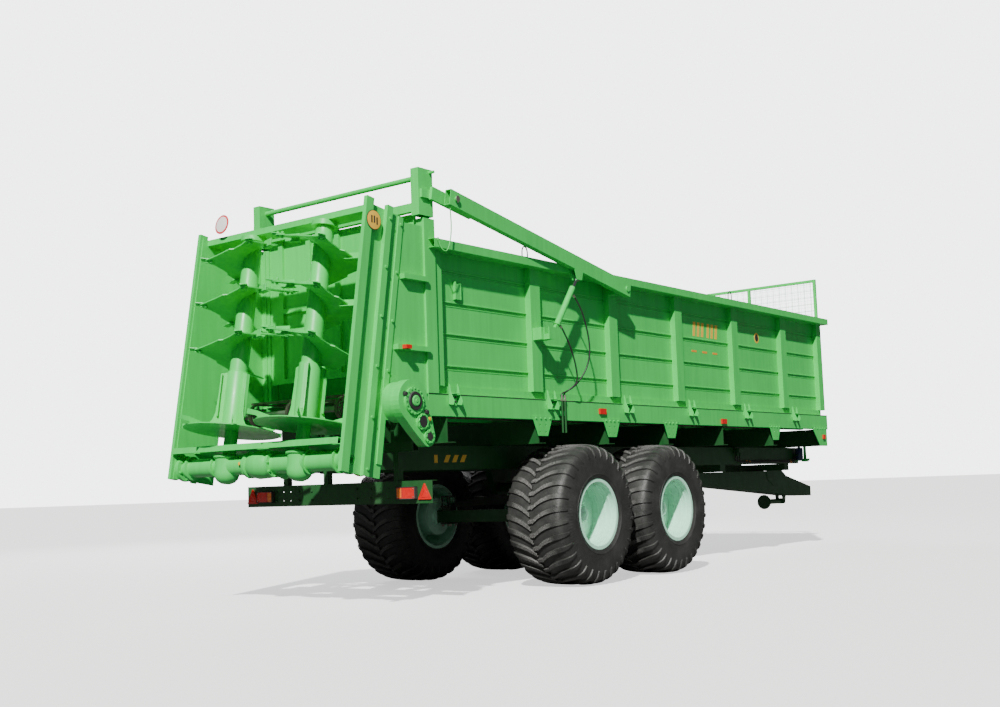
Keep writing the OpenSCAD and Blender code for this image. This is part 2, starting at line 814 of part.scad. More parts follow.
module frame_channels() {
    bolts = [for (w = [channel_w[0] + 60 : bolt_step : channel_w[1]]) w];
    color(green) placed() leaning() both_sides() {
        tube_z(channel_u, [frame_out, channel_out], channel_w, 5);
        union() {
            block([flange_u[0], flange_u[0] + flange_bar_t], [frame_out, channel_out], channel_w);
            block(flange_u, [channel_out - flange_bar_t, channel_out], channel_w);
        }
        block(strip_u, [frame_out, frame_out + strip_t], [60, frame_h - 10]);
        for (w = bolts) translate([(flange_u[0] + flange_u[1]) / 2 + 6, channel_out, w])
            rotate([-90, 0, 0]) cylinder(h = bolt_h, d = bolt_d, $fn = 6);
        for (w = [for (k = bolts) if (lean_z(0, k) > 2100 && k < frame_h - 40) k])
            translate([(strip_u[0] + strip_u[1]) / 2, frame_out + strip_t, w])
                rotate([-90, 0, 0]) cylinder(h = bolt_h, d = bolt_d, $fn = 6);
    }
}

module frame_webs() {
    u = frame_u[1];
    low = lean_w(u, web_low);
    high = lean_w(u, web_high);
    color(green) placed() both_sides() {
        difference() {
            side_plate([[lean_x(u, low), lean_z(u, low)], [rear_x, lean_z(u, low)],
                [rear_x, lean_z(u, high)], [lean_x(u, high), lean_z(u, high)]], [frame_half_w, frame_out]);
            bar_y([drive_shaft_x, drive_z], drive_shaft_d / 2 + fit, [frame_half_w - cut, frame_out + cut]);
        }
        for (z = [2262, 2900]) let (w = lean_w(u, z + 45))
            block([lean_x(u, w) + 24, rear_x], [frame_out, frame_out + 60], [z, z + 45]);
    }
}

module frame_top_beam() {
    color(green) placed() leaning() {
        tube_y(top_beam_u, [-frame_half_w, frame_half_w], top_beam_w, 6);
        both_sides() {
            translate([0, beater_y, top_beam_w[0] - hub_h]) cylinder(h = hub_h, r = hub_r);
            translate([0, beater_y, top_beam_w[0] - hub_h - journal_len])
                cylinder(h = journal_len, d = journal_d);
        }
    }
}

module rear_subframe() {
    arm_z = [1225, 1375];
    cross_x = [-150, -70];
    color(dark_green) placed() {
        both_sides() difference() {
            tube_x([beater_foot_x + 100, chassis_x[0]], [chassis_half_gap, chassis_out], arm_z, tube_wall);
            leaning() bar_y([0, tube_w], gear_tube_d / 2 + run_gap, [0, frame_half_w]);
            leaning() translate([0, beater_y, gearhub_w[0] - cut])
                cylinder(h = gearhub_w[1] - gearhub_w[0] + 2 * cut, r = gearhub_r + run_gap);
        }
        tube_y(cross_x, [-1000, 1000], [arm_z[1], arm_z[1] + 90], tube_wall);
        both_sides() block([rear_x, 90], [chassis_half_gap, chassis_out], [arm_z[1], beam_bottom]);
        for (y = strut_ys) block([cross_x[0], cross_x[1] - 20], y, [light_bar_z[1], arm_z[1]]);
    }
}

// Drive to the beaters

module gear_tube() {
    color(dark_green) placed() leaning() both_sides() {
        union() {
            bar_y([0, tube_w], gear_tube_d / 2, [gearbox_half, frame_half_w]);
            translate([0, beater_y, gearhub_w[0]]) cylinder(h = gearhub_w[1] - gearhub_w[0], r = gearhub_r);
            translate([0, beater_y, gearhub_w[1]]) cylinder(h = journal_len, d = journal_d);
        }
    }
}

module gearbox() {
    boss_r = 70;
    color(dark_green) placed() difference() {
        union() {
            leaning() block([-gearbox_u, gearbox_u], [-gearbox_half, gearbox_half], gearbox_w);
            bar_x([0, line_shaft_z], boss_r, [lean_x(0, tube_w), line_shaft[0] + 60]);
        }
        bar_x([0, line_shaft_z], line_shaft_r + fit, [line_shaft[0] - cut, line_shaft[0] + 100]);
    }
}

// A slab that climbs round the Z axis with edges at each of its radii, in small steps
module helix_slab(start, end, radii, base, thick, hand) {
    count = round((end - start) / flight_step);
    last = len(radii) - 1;
    per_ring = 2 * (last + 1);
    section = concat([for (r = radii) [r, 0]], [for (i = [last : -1 : 0]) [radii[i], thick]]);
    corners = [for (i = [0 : count]) let (a = start + i * flight_step, z = base + a / 360 * flight_pitch)
        for (c = section) [c[0] * cos(a), hand * c[0] * sin(a), z + c[1]]];
    walls = [for (i = [0 : count - 1]) for (k = [0 : per_ring - 1]) let (n = (k + 1) % per_ring,
        a = i * per_ring + k, b = i * per_ring + n, c = (i + 1) * per_ring + n, d = (i + 1) * per_ring + k)
        for (f = k <= last ? [[a, b, c], [a, c, d]] : [[a, b, d], [b, c, d]]) f];
    ends = [for (k = [0 : last - 1]) for (at = [0, count]) let (a = at * per_ring + k,
        d = at * per_ring + per_ring - 1 - k, f = [a, d, d - 1, a + 1])
        at == 0 ? f : [f[3], f[2], f[1], f[0]]];
    faces = concat(ends, walls);
    polyhedron(corners, hand > 0 ? faces : [for (f = faces) [for (i = [len(f) - 1 : -1 : 0]) f[i]]]);
}

// A beater's shaft, drum, throwing disc, wings and paddles, drawn for the left side
module beater_tube(side) {
    boss_r = 62;
    wing_t = 12;
    color(green) placed() on_side(side) leaning() translate([0, beater_y, 0]) {
        difference() {
            union() {
                translate([0, 0, beater_w[0]]) cylinder(h = disc_w - beater_w[0], r = boss_r);
                translate([0, 0, disc_w]) cylinder(h = disc_t, r = disc_d / 2);
                translate([0, 0, disc_w + disc_t]) cylinder(h = drum_top - disc_w - disc_t, d = beater_drum_d);
                translate([0, 0, drum_top]) cylinder(h = beater_w[1] - drum_top, d = beater_tube_d);
                for (k = [0 : wing_count - 1]) rotate([0, 0, k * 360 / wing_count])
                    block([beater_drum_d / 2 - 10, wing_r], [-wing_t / 2, wing_t / 2],
                        [disc_w + disc_t, disc_w + disc_t + wing_h]);
                for (k = [0 : paddle_count - 1]) rotate([0, 0, (k + 0.5) * 360 / paddle_count])
                    block([wing_r - 80, disc_d / 2], [-wing_t / 2, wing_t / 2],
                        [disc_w + disc_t, disc_w + disc_t + paddle_h]);
            }
            translate([0, 0, beater_w[0] - cut]) cylinder(h = journal_len + 5, r = journal_d / 2 + fit);
            translate([0, 0, beater_w[1] - journal_len - 5]) cylinder(h = journal_len + 10,
                r = journal_d / 2 + fit);
            translate([0, 0, beater_w[0] + journal_len + 5])
                cylinder(h = disc_w - beater_w[0] - journal_len, r = 30);
            translate([0, 0, disc_w + 40])
                cylinder(h = beater_w[1] - disc_w - journal_len - 60, r = beater_tube_d / 2 - beater_wall);
        }
    }
}

// The climbing flight and its bolted knives
module beater_flight(side) {
    hand = 1;
    turn = 360 * flight_turns;
    root = beater_tube_d / 2 + 0.8;
    lap = flight_d / 2 - 70;
    color(green) placed() on_side(side) leaning() translate([0, beater_y, flight_w[0]]) {
        helix_slab(0, turn, [root, lap, flight_d / 2], 0, flight_t, hand);
        for (a = [2 * flight_step : knife_every : turn - 4 * flight_step])
            helix_slab(a, a + 2 * flight_step, [lap, flight_d / 2, knife_d / 2], flight_t + 0.2, flight_t, hand);
    }
}

module side_reducer() {
    bolt_ring = [16, 10, 8];
    ring_gap = 12;
    color(green) placed() on_side("right") {
        bar_y(reducer_at[0], reducer_r[0] - 12, [reducer_face, reducer_case[0]]);
        hull() for (i = [0 : 2]) translate([reducer_at[i][0], reducer_case[0], reducer_at[i][1]])
            rotate([-90, 0, 0]) cylinder(h = reducer_case[1] - reducer_case[0], r = reducer_r[i], $fn = 32);
        for (i = [0 : 2]) bar_y(reducer_at[i], cover_r[i], [reducer_case[1], reducer_case[1] + cover_t]);
        for (i = [0 : 2]) for (k = [0 : bolt_ring[i] - 1]) let (a = k * 360 / bolt_ring[i],
            r = cover_r[i] - ring_gap)
            translate([reducer_at[i][0] + r * cos(a), reducer_case[1] + cover_t, reducer_at[i][1] + r * sin(a)])
                rotate([-90, 0, 0]) cylinder(h = 7, d = 16, $fn = 6);
    }
}

// Moving floor

module sprocket(y) {
    teeth = 8;
    root_r = chain_r - sprocket_gap - 26;
    tip_r = chain_r - sprocket_gap;
    points = [for (k = [0 : teeth - 1]) for (c = [[root_r, -16], [root_r, -8], [tip_r, -5], [tip_r, 5],
        [root_r, 8], [root_r, 16]]) let (a = (k * 45) + c[1]) [c[0] * cos(a), c[0] * sin(a)]];
    translate([drive_shaft_x, y + 12, drive_z]) rotate([90, 0, 0]) linear_extrude(24) polygon(points);
}

module drive_shaft() {
    color(steel) placed() union() {
        bar_y([drive_shaft_x, drive_z], drive_shaft_d / 2, [-frame_out, frame_out]);
        for (y = chain_ys) sprocket(y);
    }
}

module idler_shaft() {
    color(steel) placed() union() {
        bar_y([idler_x, drive_z], drive_shaft_d / 2, [-beam_in, beam_in]);
        for (y = chain_ys) bar_y([idler_x, drive_z], chain_r - run_gap, [y - chain_w / 2, y + chain_w / 2]);
    }
}

// A chain's loop as a flat band round its two turning points
module chain_loop(y) {
    translate([0, y + chain_w / 2, 0]) rotate([90, 0, 0]) linear_extrude(chain_w) difference() {
        union() {
            for (x = [drive_shaft_x, idler_x]) translate([x, drive_z]) circle(r = chain_r + chain_t);
            translate([drive_shaft_x, drive_z - chain_r - chain_t])
                square([idler_x - drive_shaft_x, 2 * (chain_r + chain_t)]);
        }
        for (x = [drive_shaft_x, idler_x]) translate([x, drive_z]) circle(r = chain_r);
        translate([drive_shaft_x, drive_z - chain_r]) square([idler_x - drive_shaft_x, 2 * chain_r]);
    }
}

module conveyor_chains() {
    color(steel) placed() for (y = chain_ys) chain_loop(y);
}

module conveyor_slats() {
    top = floor_top + chain_t;
    color(steel) placed() for (x = [drive_shaft_x + 40 : slat_pitch : floor_front - 40])
        block([x, x + slat_w], [-slat_half, slat_half], [top, top + slat_h]);
}

// Lamps

module light_bar() {
    color(dark_green) placed() difference() {
        block(light_bar_x, [-light_bar_half, light_bar_half], light_bar_z);
        block([light_bar_x[0] + light_bar_wall, light_bar_x[1] + cut],
            [-light_bar_half - cut, light_bar_half + cut],
            [light_bar_z[0] + light_bar_wall, light_bar_z[1] - light_bar_wall]);
        for (y = [-700, -600, 600, 700]) for (z = [965, 1050])
            bar_x([y, z], 7, [light_bar_x[0] - cut, light_bar_x[0] + light_bar_wall + cut]);
    }
}

module lamps() {
    tri_t = 12;
    color(red) placed() {
        both_sides() {
            block([light_bar_x[0] - lamp_t, light_bar_x[0]], lamp_y, lamp_z);
            translate([light_bar_x[0] - tri_t, 0, 0]) rotate([90, 0, 90]) linear_extrude(tri_t)
                polygon([[1070, lamp_z[0] - 8], [1216, lamp_z[0] - 8], [1143, lamp_z[1] + 30]]);
            for (at = [[2775, 1800], [5548, 1746]])
                block([at[0] - 60, at[0] + 60], [beam_out, beam_out + 24], [at[1] - 30, at[1] + 30]);
            block([8560, 8620], [beam_out + gusset_t, beam_out + gusset_t + 24], [1550, 1610]);
            block([-430, -360], [frame_out + 60, frame_out + 110], [2268, 2302]);
        }
    }
}

// Drawbar, eye and jack

function drawbar_low(x) = drawbar_line[5][1]
    + (x - drawbar_line[5][0]) * (drawbar_line[4][1] - drawbar_line[5][1])
    / (drawbar_line[4][0] - drawbar_line[5][0]);

module drawbar() {
    t = drawbar_wall;
    hollow = [[drawbar_rear - cut, 1118 - t], [9005, 1116 - t], [drawbar_front - 40, 864 - t],
        [drawbar_front - 40, 711 + t], [9702, 725 + t], [drawbar_rear - cut, 960 + t]];
    cheek_x = [jack_x - 60, jack_x + 60];
    color(dark_green) placed() {
        difference() {
            side_plate(drawbar_line, [-drawbar_half, drawbar_half]);
            side_plate(hollow, [-drawbar_half + t, drawbar_half - t]);
        }
        for (x = [[6560, 6700], [8560, 8700]])
            block(x, [-chassis_out, chassis_out], [drawbar_line[0][1], chassis_bottom]);
        both_sides() {
            side_plate([[8700, chassis_bottom], [9050, chassis_bottom], [9350, 1043], [9350, 900], [8900, 900],
                [8700, 1000]], [drawbar_half, drawbar_half + t]);
            difference() {
                side_plate([[cheek_x[0], drawbar_low(cheek_x[0])], [cheek_x[1], drawbar_low(cheek_x[1])],
                    [jack_x + 30, jack_z - 35], [jack_x - 30, jack_z - 35]], jack_cheek);
                bar_y([jack_x, jack_z], jack_pin_r + fit, [jack_cheek[0] - cut, jack_cheek[1] + cut]);
            }
        }
    }
}

module towing_eye() {
    color(steel) placed() difference() {
        union() {
            bar_z([eye_x, 0], eye_d / 2, [eye_z - eye_t / 2, eye_z + eye_t / 2]);
            bar_x([0, eye_z], shank_r / 2, [drawbar_front, eye_x - eye_bore_d]);
            block([drawbar_front, drawbar_front + 22], [-90, 90], [eye_z - 65, eye_z + 65]);
        }
        bar_z([eye_x, 0], eye_bore_d / 2, [eye_z - eye_t, eye_z + eye_t]);
    }
}

module jack_leg() {
    color(dark_green) placed() {
        difference() {
            union() {
                bar_x([0, jack_z], jack_sleeve_r, [jack_x - jack_len + 120, jack_x]);
                bar_y([jack_x, jack_z], jack_sleeve_r + 4, [-jack_cheek[0] + run_gap, jack_cheek[0] - run_gap]);
            }
            bar_x([0, jack_z], jack_tube_r + fit, [jack_x - jack_len, jack_x - 90]);
            bar_y([jack_x, jack_z], jack_pin_r, [-jack_cheek[0], jack_cheek[0]]);
        }
        bar_y([jack_x, jack_z], jack_pin_r, [-jack_cheek[1] - 8, jack_cheek[1] + 8]);
    }
}

module jack_foot() {
    color(dark_green) placed() union() {
        bar_x([0, jack_z], jack_tube_r, [jack_x - jack_len, jack_x - 170]);
        bar_x([0, jack_z], jack_foot_d / 2, [jack_x - jack_len - jack_foot_t, jack_x - jack_len]);
    }
}

// The long shaft that carries the tractor's drive under the box to the gearbox
module line_shaft() {
    spline_r = 22;
    color(steel) placed() union() {
        bar_x([0, line_shaft_z], line_shaft_r, line_shaft);
        bar_x([0, line_shaft_z], spline_r, [line_shaft[1], line_shaft[1] + 90]);
    }
}

// Running gear

module bogie_hangers() {
    color(dark_green) placed() {
        both_sides() union() {
            side_plate([[bogie_x - 210, chassis_bottom], [bogie_x + 210, chassis_bottom],
                [bogie_x + 90, bogie_shaft_z - 80], [bogie_x - 90, bogie_shaft_z - 80]],
                [chassis_half_gap, chassis_out]);
            bar_y([bogie_x, bogie_shaft_z], bogie_shaft_d / 2, [0, spring_y[1] + 12]);
        }
        for (x = hanger_xs) difference() {
            block([x - 40, x + 40], [-70, 70], [line_shaft_z - 60, chassis_top]);
            bar_x([0, line_shaft_z], line_shaft_r + fit, [x - 41, x + 41]);
        }
    }
}

module axle_beams() {
    color(dark_green) placed() for (x = axle_xs) difference() {
        union() {
            block([x - axle_beam / 2, x + axle_beam / 2], [-axle_half, axle_half],
                [axle_z - axle_beam / 2, axle_z + axle_beam / 2]);
            bar_y([x, axle_z], spindle_d / 2, [-spindle_end, spindle_end]);
        }
    }
}

module leaf_springs() {
    color(dark_green) placed() both_sides() {
        for (i = [0 : leaf_count - 1]) block([bogie_x - leaf_long + i * leaf_step, bogie_x + leaf_long - i * leaf_step],
            spring_y, [leaf_top - (leaf_count - i) * leaf_t, leaf_top - (leaf_count - 1 - i) * leaf_t]);
        difference() {
            block([bogie_x - saddle_half, bogie_x + saddle_half], spring_y, [leaf_top, bogie_shaft_z + 90]);
            bar_y([bogie_x, bogie_shaft_z], bogie_shaft_d / 2 + fit, [spring_y[0] - cut, spring_y[1] + cut]);
        }
        for (x = axle_xs) block([x - pad_half, x + pad_half], spring_y,
            [axle_z + axle_beam / 2, leaf_top - leaf_count * leaf_t]);
    }
}

// Wheels: place gives "rear" or "front"
module at_wheel(side, place) {
    placed() on_side(side) translate([place == "rear" ? axle_xs[0] : axle_xs[1], 0, axle_z])
        rotate([-90, 0, 0]) children();
}

module rim(side, place) {
    inner = rim_seat_r - rim_t;
    color(mint) at_wheel(side, place) {
        rotate_extrude() polygon([[inner, rim_in], [rim_flange_r, rim_in], [rim_flange_r, rim_in + flange_t],
            [rim_seat_r, rim_in + flange_t], [rim_seat_r, rim_out - flange_t], [rim_flange_r, rim_out - flange_t],
            [rim_flange_r, rim_out], [inner, rim_out], [inner, rim_disc[1]], [rim_disc_r, rim_disc[1]],
            [rim_disc_r, rim_disc[0]], [inner, rim_disc[0]]]);
        difference() {
            union() {
                translate([0, 0, hub_y[0]]) cylinder(h = hub_y[1] - hub_y[0], r = hub_tube_r);
                translate([0, 0, drum_y[0]]) cylinder(h = drum_y[1] - drum_y[0], r = drum_r);
                translate([0, 0, hub_flange_y[0]]) cylinder(h = hub_flange_y[1] - hub_flange_y[0], r = hub_flange_r);
                translate([0, 0, hub_cap[0]]) cylinder(h = hub_cap[1] - hub_cap[0], r = hub_cap_r);
                for (k = [0 : stud_count - 1]) rotate([0, 0, k * 360 / stud_count])
                    translate([stud_circle_r, 0, rim_disc[1]]) cylinder(h = 24, r = stud_r);
            }
            translate([0, 0, hub_y[0] - cut]) cylinder(h = spindle_end - hub_y[0] + 6, r = spindle_d / 2 + fit);
        }
    }
}

module tyre(side, place) {
    c = tyre_centre_y;
    bead = [rim_in + flange_t, rim_out - flange_t];
    half = tyre_w / 2;
    tread = tyre_r;
    t = carcass_t;
    color(black) at_wheel(side, place) rotate_extrude($fn = 96) polygon([
        [rim_seat_r, bead[0]], [rim_flange_r + 2, bead[0]], [rim_seat_r + 60, c - half + 6], [tread - 190, c - half], [tread - 90, c - half + 10],
        [tread - 22, c - half + 34], [tread, c - half + 70], [tread, c + half - 70], [tread - 22, c + half - 34],
        [tread - 90, c + half - 10], [tread - 190, c + half], [rim_seat_r + 60, c + half - 6],
        [rim_flange_r + 2, bead[1]], [rim_seat_r, bead[1]],
        [rim_seat_r, bead[1] - t], [rim_seat_r + 60, c + half - t - 6], [tread - 190, c + half - t],
        [tread - 90, c + half - t - 22], [tread - t - 30, c + half - 90], [tread - t - 26, c],
        [tread - t - 30, c - half + 90], [tread - 90, c - half + t + 22], [tread - 190, c - half + t],
        [rim_seat_r + 60, c - half + t + 6], [rim_seat_r, bead[0] + t]]);
}

chassis_beams();
cross_bearers();
floor_beams();
floor_deck();
gusset_plates();
side_walls();
side_posts();
top_rails();
front_wall();
front_guard();
rear_posts();
gate_sheet();
gate_head();
gate_yokes();
lift_arm("left");  // left_lift_arm
lift_arm("right");  // right_lift_arm
lift_brackets();
ram_barrel("left");  // left_ram_barrel
ram_barrel("right");  // right_ram_barrel
ram_rod("left");  // left_ram_rod
ram_rod("right");  // right_ram_rod
hydraulic_pipes();
hose_low("left");  // left_hose_low
hose_high("left");  // left_hose_high
hose_low("right");  // right_hose_low
hose_high("right");  // right_hose_high
frame_sides();
frame_channels();
frame_webs();
frame_top_beam();
rear_subframe();
gear_tube();
gearbox();
beater_tube("left");  // left_beater_tube
beater_tube("right");  // right_beater_tube
beater_flight("left");  // left_beater_flight
beater_flight("right");  // right_beater_flight
side_reducer();
drive_shaft();
idler_shaft();
conveyor_chains();
conveyor_slats();
light_bar();
lamps();
drawbar();
towing_eye();
jack_leg();
jack_foot();
line_shaft();
bogie_hangers();
axle_beams();
leaf_springs();
rim("left", "rear");  // left_rear_rim
rim("right", "rear");  // right_rear_rim
rim("left", "front");  // left_front_rim
rim("right", "front");  // right_front_rim
tyre("left", "rear");  // left_rear_tyre
tyre("right", "rear");  // right_rear_tyre
tyre("left", "front");  // left_front_tyre
tyre("right", "front");  // right_front_tyre
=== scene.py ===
import math

import bmesh
import bpy
from mathutils import Matrix, Vector


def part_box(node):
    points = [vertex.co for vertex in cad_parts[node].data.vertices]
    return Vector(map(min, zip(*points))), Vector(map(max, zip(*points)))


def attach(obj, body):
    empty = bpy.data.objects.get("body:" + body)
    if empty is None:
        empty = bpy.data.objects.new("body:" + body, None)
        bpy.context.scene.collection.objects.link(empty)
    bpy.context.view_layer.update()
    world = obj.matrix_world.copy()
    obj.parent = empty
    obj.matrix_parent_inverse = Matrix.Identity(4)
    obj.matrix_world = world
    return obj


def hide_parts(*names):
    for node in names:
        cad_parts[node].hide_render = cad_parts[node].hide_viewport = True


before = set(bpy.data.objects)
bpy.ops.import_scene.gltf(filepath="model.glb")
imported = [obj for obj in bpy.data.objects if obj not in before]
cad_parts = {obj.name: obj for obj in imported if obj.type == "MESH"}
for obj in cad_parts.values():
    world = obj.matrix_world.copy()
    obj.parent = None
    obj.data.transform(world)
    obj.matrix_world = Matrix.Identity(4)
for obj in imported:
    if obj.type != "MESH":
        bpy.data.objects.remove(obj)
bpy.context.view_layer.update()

# ---------------------------------------------------------------------------
# The studio: one camera low behind the right rear corner, a pale floor,
# a hard high light from behind the machine and soft light all round.

LIGHT_BAR_REAR = -0.160          # light bar's rear face, from the rear end of the top rails
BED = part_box("light_bar")[0][0] - LIGHT_BAR_REAR     # rear end of the top rails, in the row frame


def at(s, y, z):
    """A point, s metres forward from the rear end of the top rails."""
    return Vector((BED + s, y, z))


eye = Vector((-12.89239, -8.38870, 1.05154))
right = Vector((0.61539734, -0.78746837, -0.03434649))
down = Vector((0.05108532, 0.08333007, -0.99521173))
ahead = Vector((0.78655986, 0.61069605, 0.09150918))

bpy.ops.object.camera_add(location=eye)
camera = bpy.context.object
camera.name = "studio_camera"
camera.rotation_euler = Matrix((right, -down, -ahead)).transposed().to_euler()
camera.data.lens = 44.19
camera.data.sensor_width = 36.0
camera.data.shift_y = 0.0182
camera.data.clip_end = 200
camera.data.dof.use_dof = False
bpy.context.scene.camera = camera

bpy.ops.object.light_add(type="SUN")
key_light = bpy.context.object
key_light.name = "key_light"
key_light.rotation_euler = Vector((0.69, 0.366, -0.63)).to_track_quat("-Z", "Y").to_euler()
key_light.data.energy = 6.8
key_light.data.angle = math.radians(1.5)
key_light.data.color = (1.0, 0.98, 0.95)

bpy.ops.object.light_add(type="AREA", location=(-9, -9, 7))
fill_light = bpy.context.object
fill_light.name = "fill_light"
fill_light.rotation_euler = Vector((9, 9, -5.5)).to_track_quat("-Z", "Y").to_euler()
fill_light.data.shape = "DISK"
fill_light.data.size = 9
fill_light.data.energy = 120

bpy.ops.object.light_add(type="AREA", location=(4, 12, 9))
far_light = bpy.context.object
far_light.name = "far_light"
far_light.rotation_euler = Vector((-4, -12, -7.5)).to_track_quat("-Z", "Y").to_euler()
far_light.data.shape = "DISK"
far_light.data.size = 8
far_light.data.energy = 900

world = bpy.data.worlds.new("studio_air")
world.use_nodes = True
air = world.node_tree
glow = air.nodes["Background"]
glow.inputs["Color"].default_value = (0.93, 0.95, 1.0, 1)
glow.inputs["Strength"].default_value = 0.10
backdrop = air.nodes.new("ShaderNodeBackground")
backdrop.inputs["Color"].default_value = (0.97, 0.98, 1.0, 1)
backdrop.inputs["Strength"].default_value = 4.5
seen_by = air.nodes.new("ShaderNodeLightPath")
either = air.nodes.new("ShaderNodeMixShader")
air.links.new(seen_by.outputs["Is Camera Ray"], either.inputs[0])
air.links.new(glow.outputs[0], either.inputs[1])
air.links.new(backdrop.outputs[0], either.inputs[2])
air.links.new(either.outputs[0], air.nodes["World Output"].inputs["Surface"])
bpy.context.scene.world = world

bpy.ops.mesh.primitive_plane_add(size=400, location=(0, 0, 0))
floor = bpy.context.object
floor.name = "studio_floor"
floor_paint = bpy.data.materials.new("studio_floor")
floor_paint.use_nodes = True
floor_shader = floor_paint.node_tree.nodes["Principled BSDF"]
floor_shader.inputs["Base Color"].default_value = (0.95, 0.95, 0.96, 1)
floor_shader.inputs["Roughness"].default_value = 0.85
floor_shader.inputs["Emission Color"].default_value = (1, 1, 1, 1)
floor_shader.inputs["Emission Strength"].default_value = 0.9
dim_floor = floor_paint.node_tree.nodes.new("ShaderNodeBsdfDiffuse")
dim_floor.inputs["Color"].default_value = (0.16, 0.16, 0.16, 1)
floor_seen = floor_paint.node_tree.nodes.new("ShaderNodeLightPath")
floor_mix = floor_paint.node_tree.nodes.new("ShaderNodeMixShader")
floor_paint.node_tree.links.new(floor_seen.outputs["Is Camera Ray"], floor_mix.inputs[0])
floor_paint.node_tree.links.new(dim_floor.outputs[0], floor_mix.inputs[1])
floor_paint.node_tree.links.new(floor_shader.outputs[0], floor_mix.inputs[2])
floor_paint.node_tree.links.new(floor_mix.outputs[0], floor_paint.node_tree.nodes["Material Output"].inputs[0])
floor.data.materials.append(floor_paint)

# ---------------------------------------------------------------------------
# The lift hoses: two short rubber hydraulic hoses a side, 16 mm outside, crimped
# to the ram at one end and to the pipes under the beam at the other.

GREY_DUST = (0.30, 0.28, 0.25, 1)


def new_group(name, takes, gives):
    """An empty shader node group with these named inputs and outputs."""
    group = bpy.data.node_groups.new(name, "ShaderNodeTree")
    for label, kind, value in takes:
        socket = group.interface.new_socket(label, in_out="INPUT", socket_type="NodeSocket" + kind)
        if value is not None:
            socket.default_value = value
    for label, kind in gives:
        group.interface.new_socket(label, in_out="OUTPUT", socket_type="NodeSocket" + kind)
    return group, group.nodes.new("NodeGroupInput"), group.nodes.new("NodeGroupOutput")


def node(tree, kind, links=(), **settings):
    """Adds a node; links are (input, value or output socket)."""
    made = tree.nodes.new("ShaderNode" + kind)
    for name, value in settings.items():
        setattr(made, name, value)
    for name, value in links:
        if isinstance(value, bpy.types.NodeSocket):
            tree.links.new(value, made.inputs[name])
        else:
            made.inputs[name].default_value = value
    return made


def noise(tree, where, scale, detail=4.0, roughness=0.55):
    return node(tree, "TexNoise", [("Vector", where), ("Scale", scale), ("Detail", detail),
                                   ("Roughness", roughness)]).outputs["Fac"]


def spread(tree, value, low, high, to_low=0.0, to_high=1.0):
    """Stretches value from low-high to to_low-to_high, clamped."""
    return node(tree, "MapRange", [("Value", value), ("From Min", low), ("From Max", high),
                                   ("To Min", to_low), ("To Max", to_high)]).outputs["Result"]


def sums(tree, operation, a, b):
    return node(tree, "Math", [(0, a), (1, b)], operation=operation).outputs[0]


def blend_colour(tree, mask, a, b, how="MIX"):
    return node(tree, "Mix", [(0, mask), (6, a), (7, b)], data_type="RGBA", blend_type=how).outputs[2]


# Edge wear: where the surface turns over an edge, broken up by noise
edge_wear, taken, given = new_group("edge_wear", [("Position", "Vector", None), ("Width", "Float", 0.004),
                                                  ("Amount", "Float", 0.5)], [("Mask", "Float")])
rounded = node(edge_wear, "Bevel", [("Radius", taken.outputs["Width"])], samples=4).outputs["Normal"]
plain_normal = node(edge_wear, "NewGeometry").outputs["Normal"]
turn = node(edge_wear, "VectorMath", [(0, rounded), (1, plain_normal)], operation="DOT_PRODUCT").outputs["Value"]
turn = spread(edge_wear, turn, 0.98, 0.80)
chips = spread(edge_wear, noise(edge_wear, taken.outputs["Position"], 46.0, 5.0, 0.7), 0.44, 0.62)
chips = sums(edge_wear, "MULTIPLY", chips, taken.outputs["Amount"])
edge_wear.links.new(sums(edge_wear, "MULTIPLY", turn, chips), given.inputs["Mask"])

# Road dust: thick on what faces up and low down, blown into clouds by noise
road_dust, taken, given = new_group("road_dust", [("Position", "Vector", None), ("Amount", "Float", 0.3),
                                                  ("Reach", "Float", 1.6)], [("Mask", "Float")])
upward = node(road_dust, "SeparateXYZ", [(0, node(road_dust, "NewGeometry").outputs["Normal"])]).outputs["Z"]
height = node(road_dust, "SeparateXYZ", [(0, taken.outputs["Position"])]).outputs["Z"]
low_down = node(road_dust, "MapRange", [("Value", height), ("From Min", taken.outputs["Reach"]), ("From Max", 0.0),
                                        ("To Min", 0.0), ("To Max", 1.0)]).outputs["Result"]
lying = sums(road_dust, "MAXIMUM", low_down, spread(road_dust, upward, 0.35, 1.0, 0.0, 0.8))
clouds = spread(road_dust, noise(road_dust, taken.outputs["Position"], 3.2, 6.0, 0.65), 0.35, 0.70)
film = sums(road_dust, "MULTIPLY", sums(road_dust, "ADD", lying, 0.12), clouds)
road_dust.links.new(sums(road_dust, "MULTIPLY", film, taken.outputs["Amount"]), given.inputs["Mask"])

# Faded coat: the colour drifts a little over a panel, and runs darker down the sheet
faded_coat, taken, given = new_group("faded_coat", [("Position", "Vector", None), ("Colour", "Color", None),
                                                    ("Drift", "Float", 0.25)], [("Colour", "Color")])
drift = noise(faded_coat, taken.outputs["Position"], 0.9, 3.0)
streaks = node(faded_coat, "Mapping", [("Vector", taken.outputs["Position"]), ("Scale", (9.0, 9.0, 0.7))])
streak = noise(faded_coat, streaks.outputs[0], 2.2, 4.0)
drift = spread(faded_coat, sums(faded_coat, "ADD", drift, streak), 0.7, 1.3, -1.0, 1.0)
lift = sums(faded_coat, "ADD", 1.0, sums(faded_coat, "MULTIPLY", drift, taken.outputs["Drift"]))
shade = node(faded_coat, "HueSaturation", [("Color", taken.outputs["Colour"]), ("Value", lift)])
faded_coat.links.new(shade.outputs[0], given.inputs["Colour"])


def use(tree, group, links):
    made = tree.nodes.new("ShaderNodeGroup")
    made.node_tree = group
    for name, value in links:
        if isinstance(value, bpy.types.NodeSocket):
            tree.links.new(value, made.inputs[name])
        else:
            made.inputs[name].default_value = value
    return made.outputs[0]


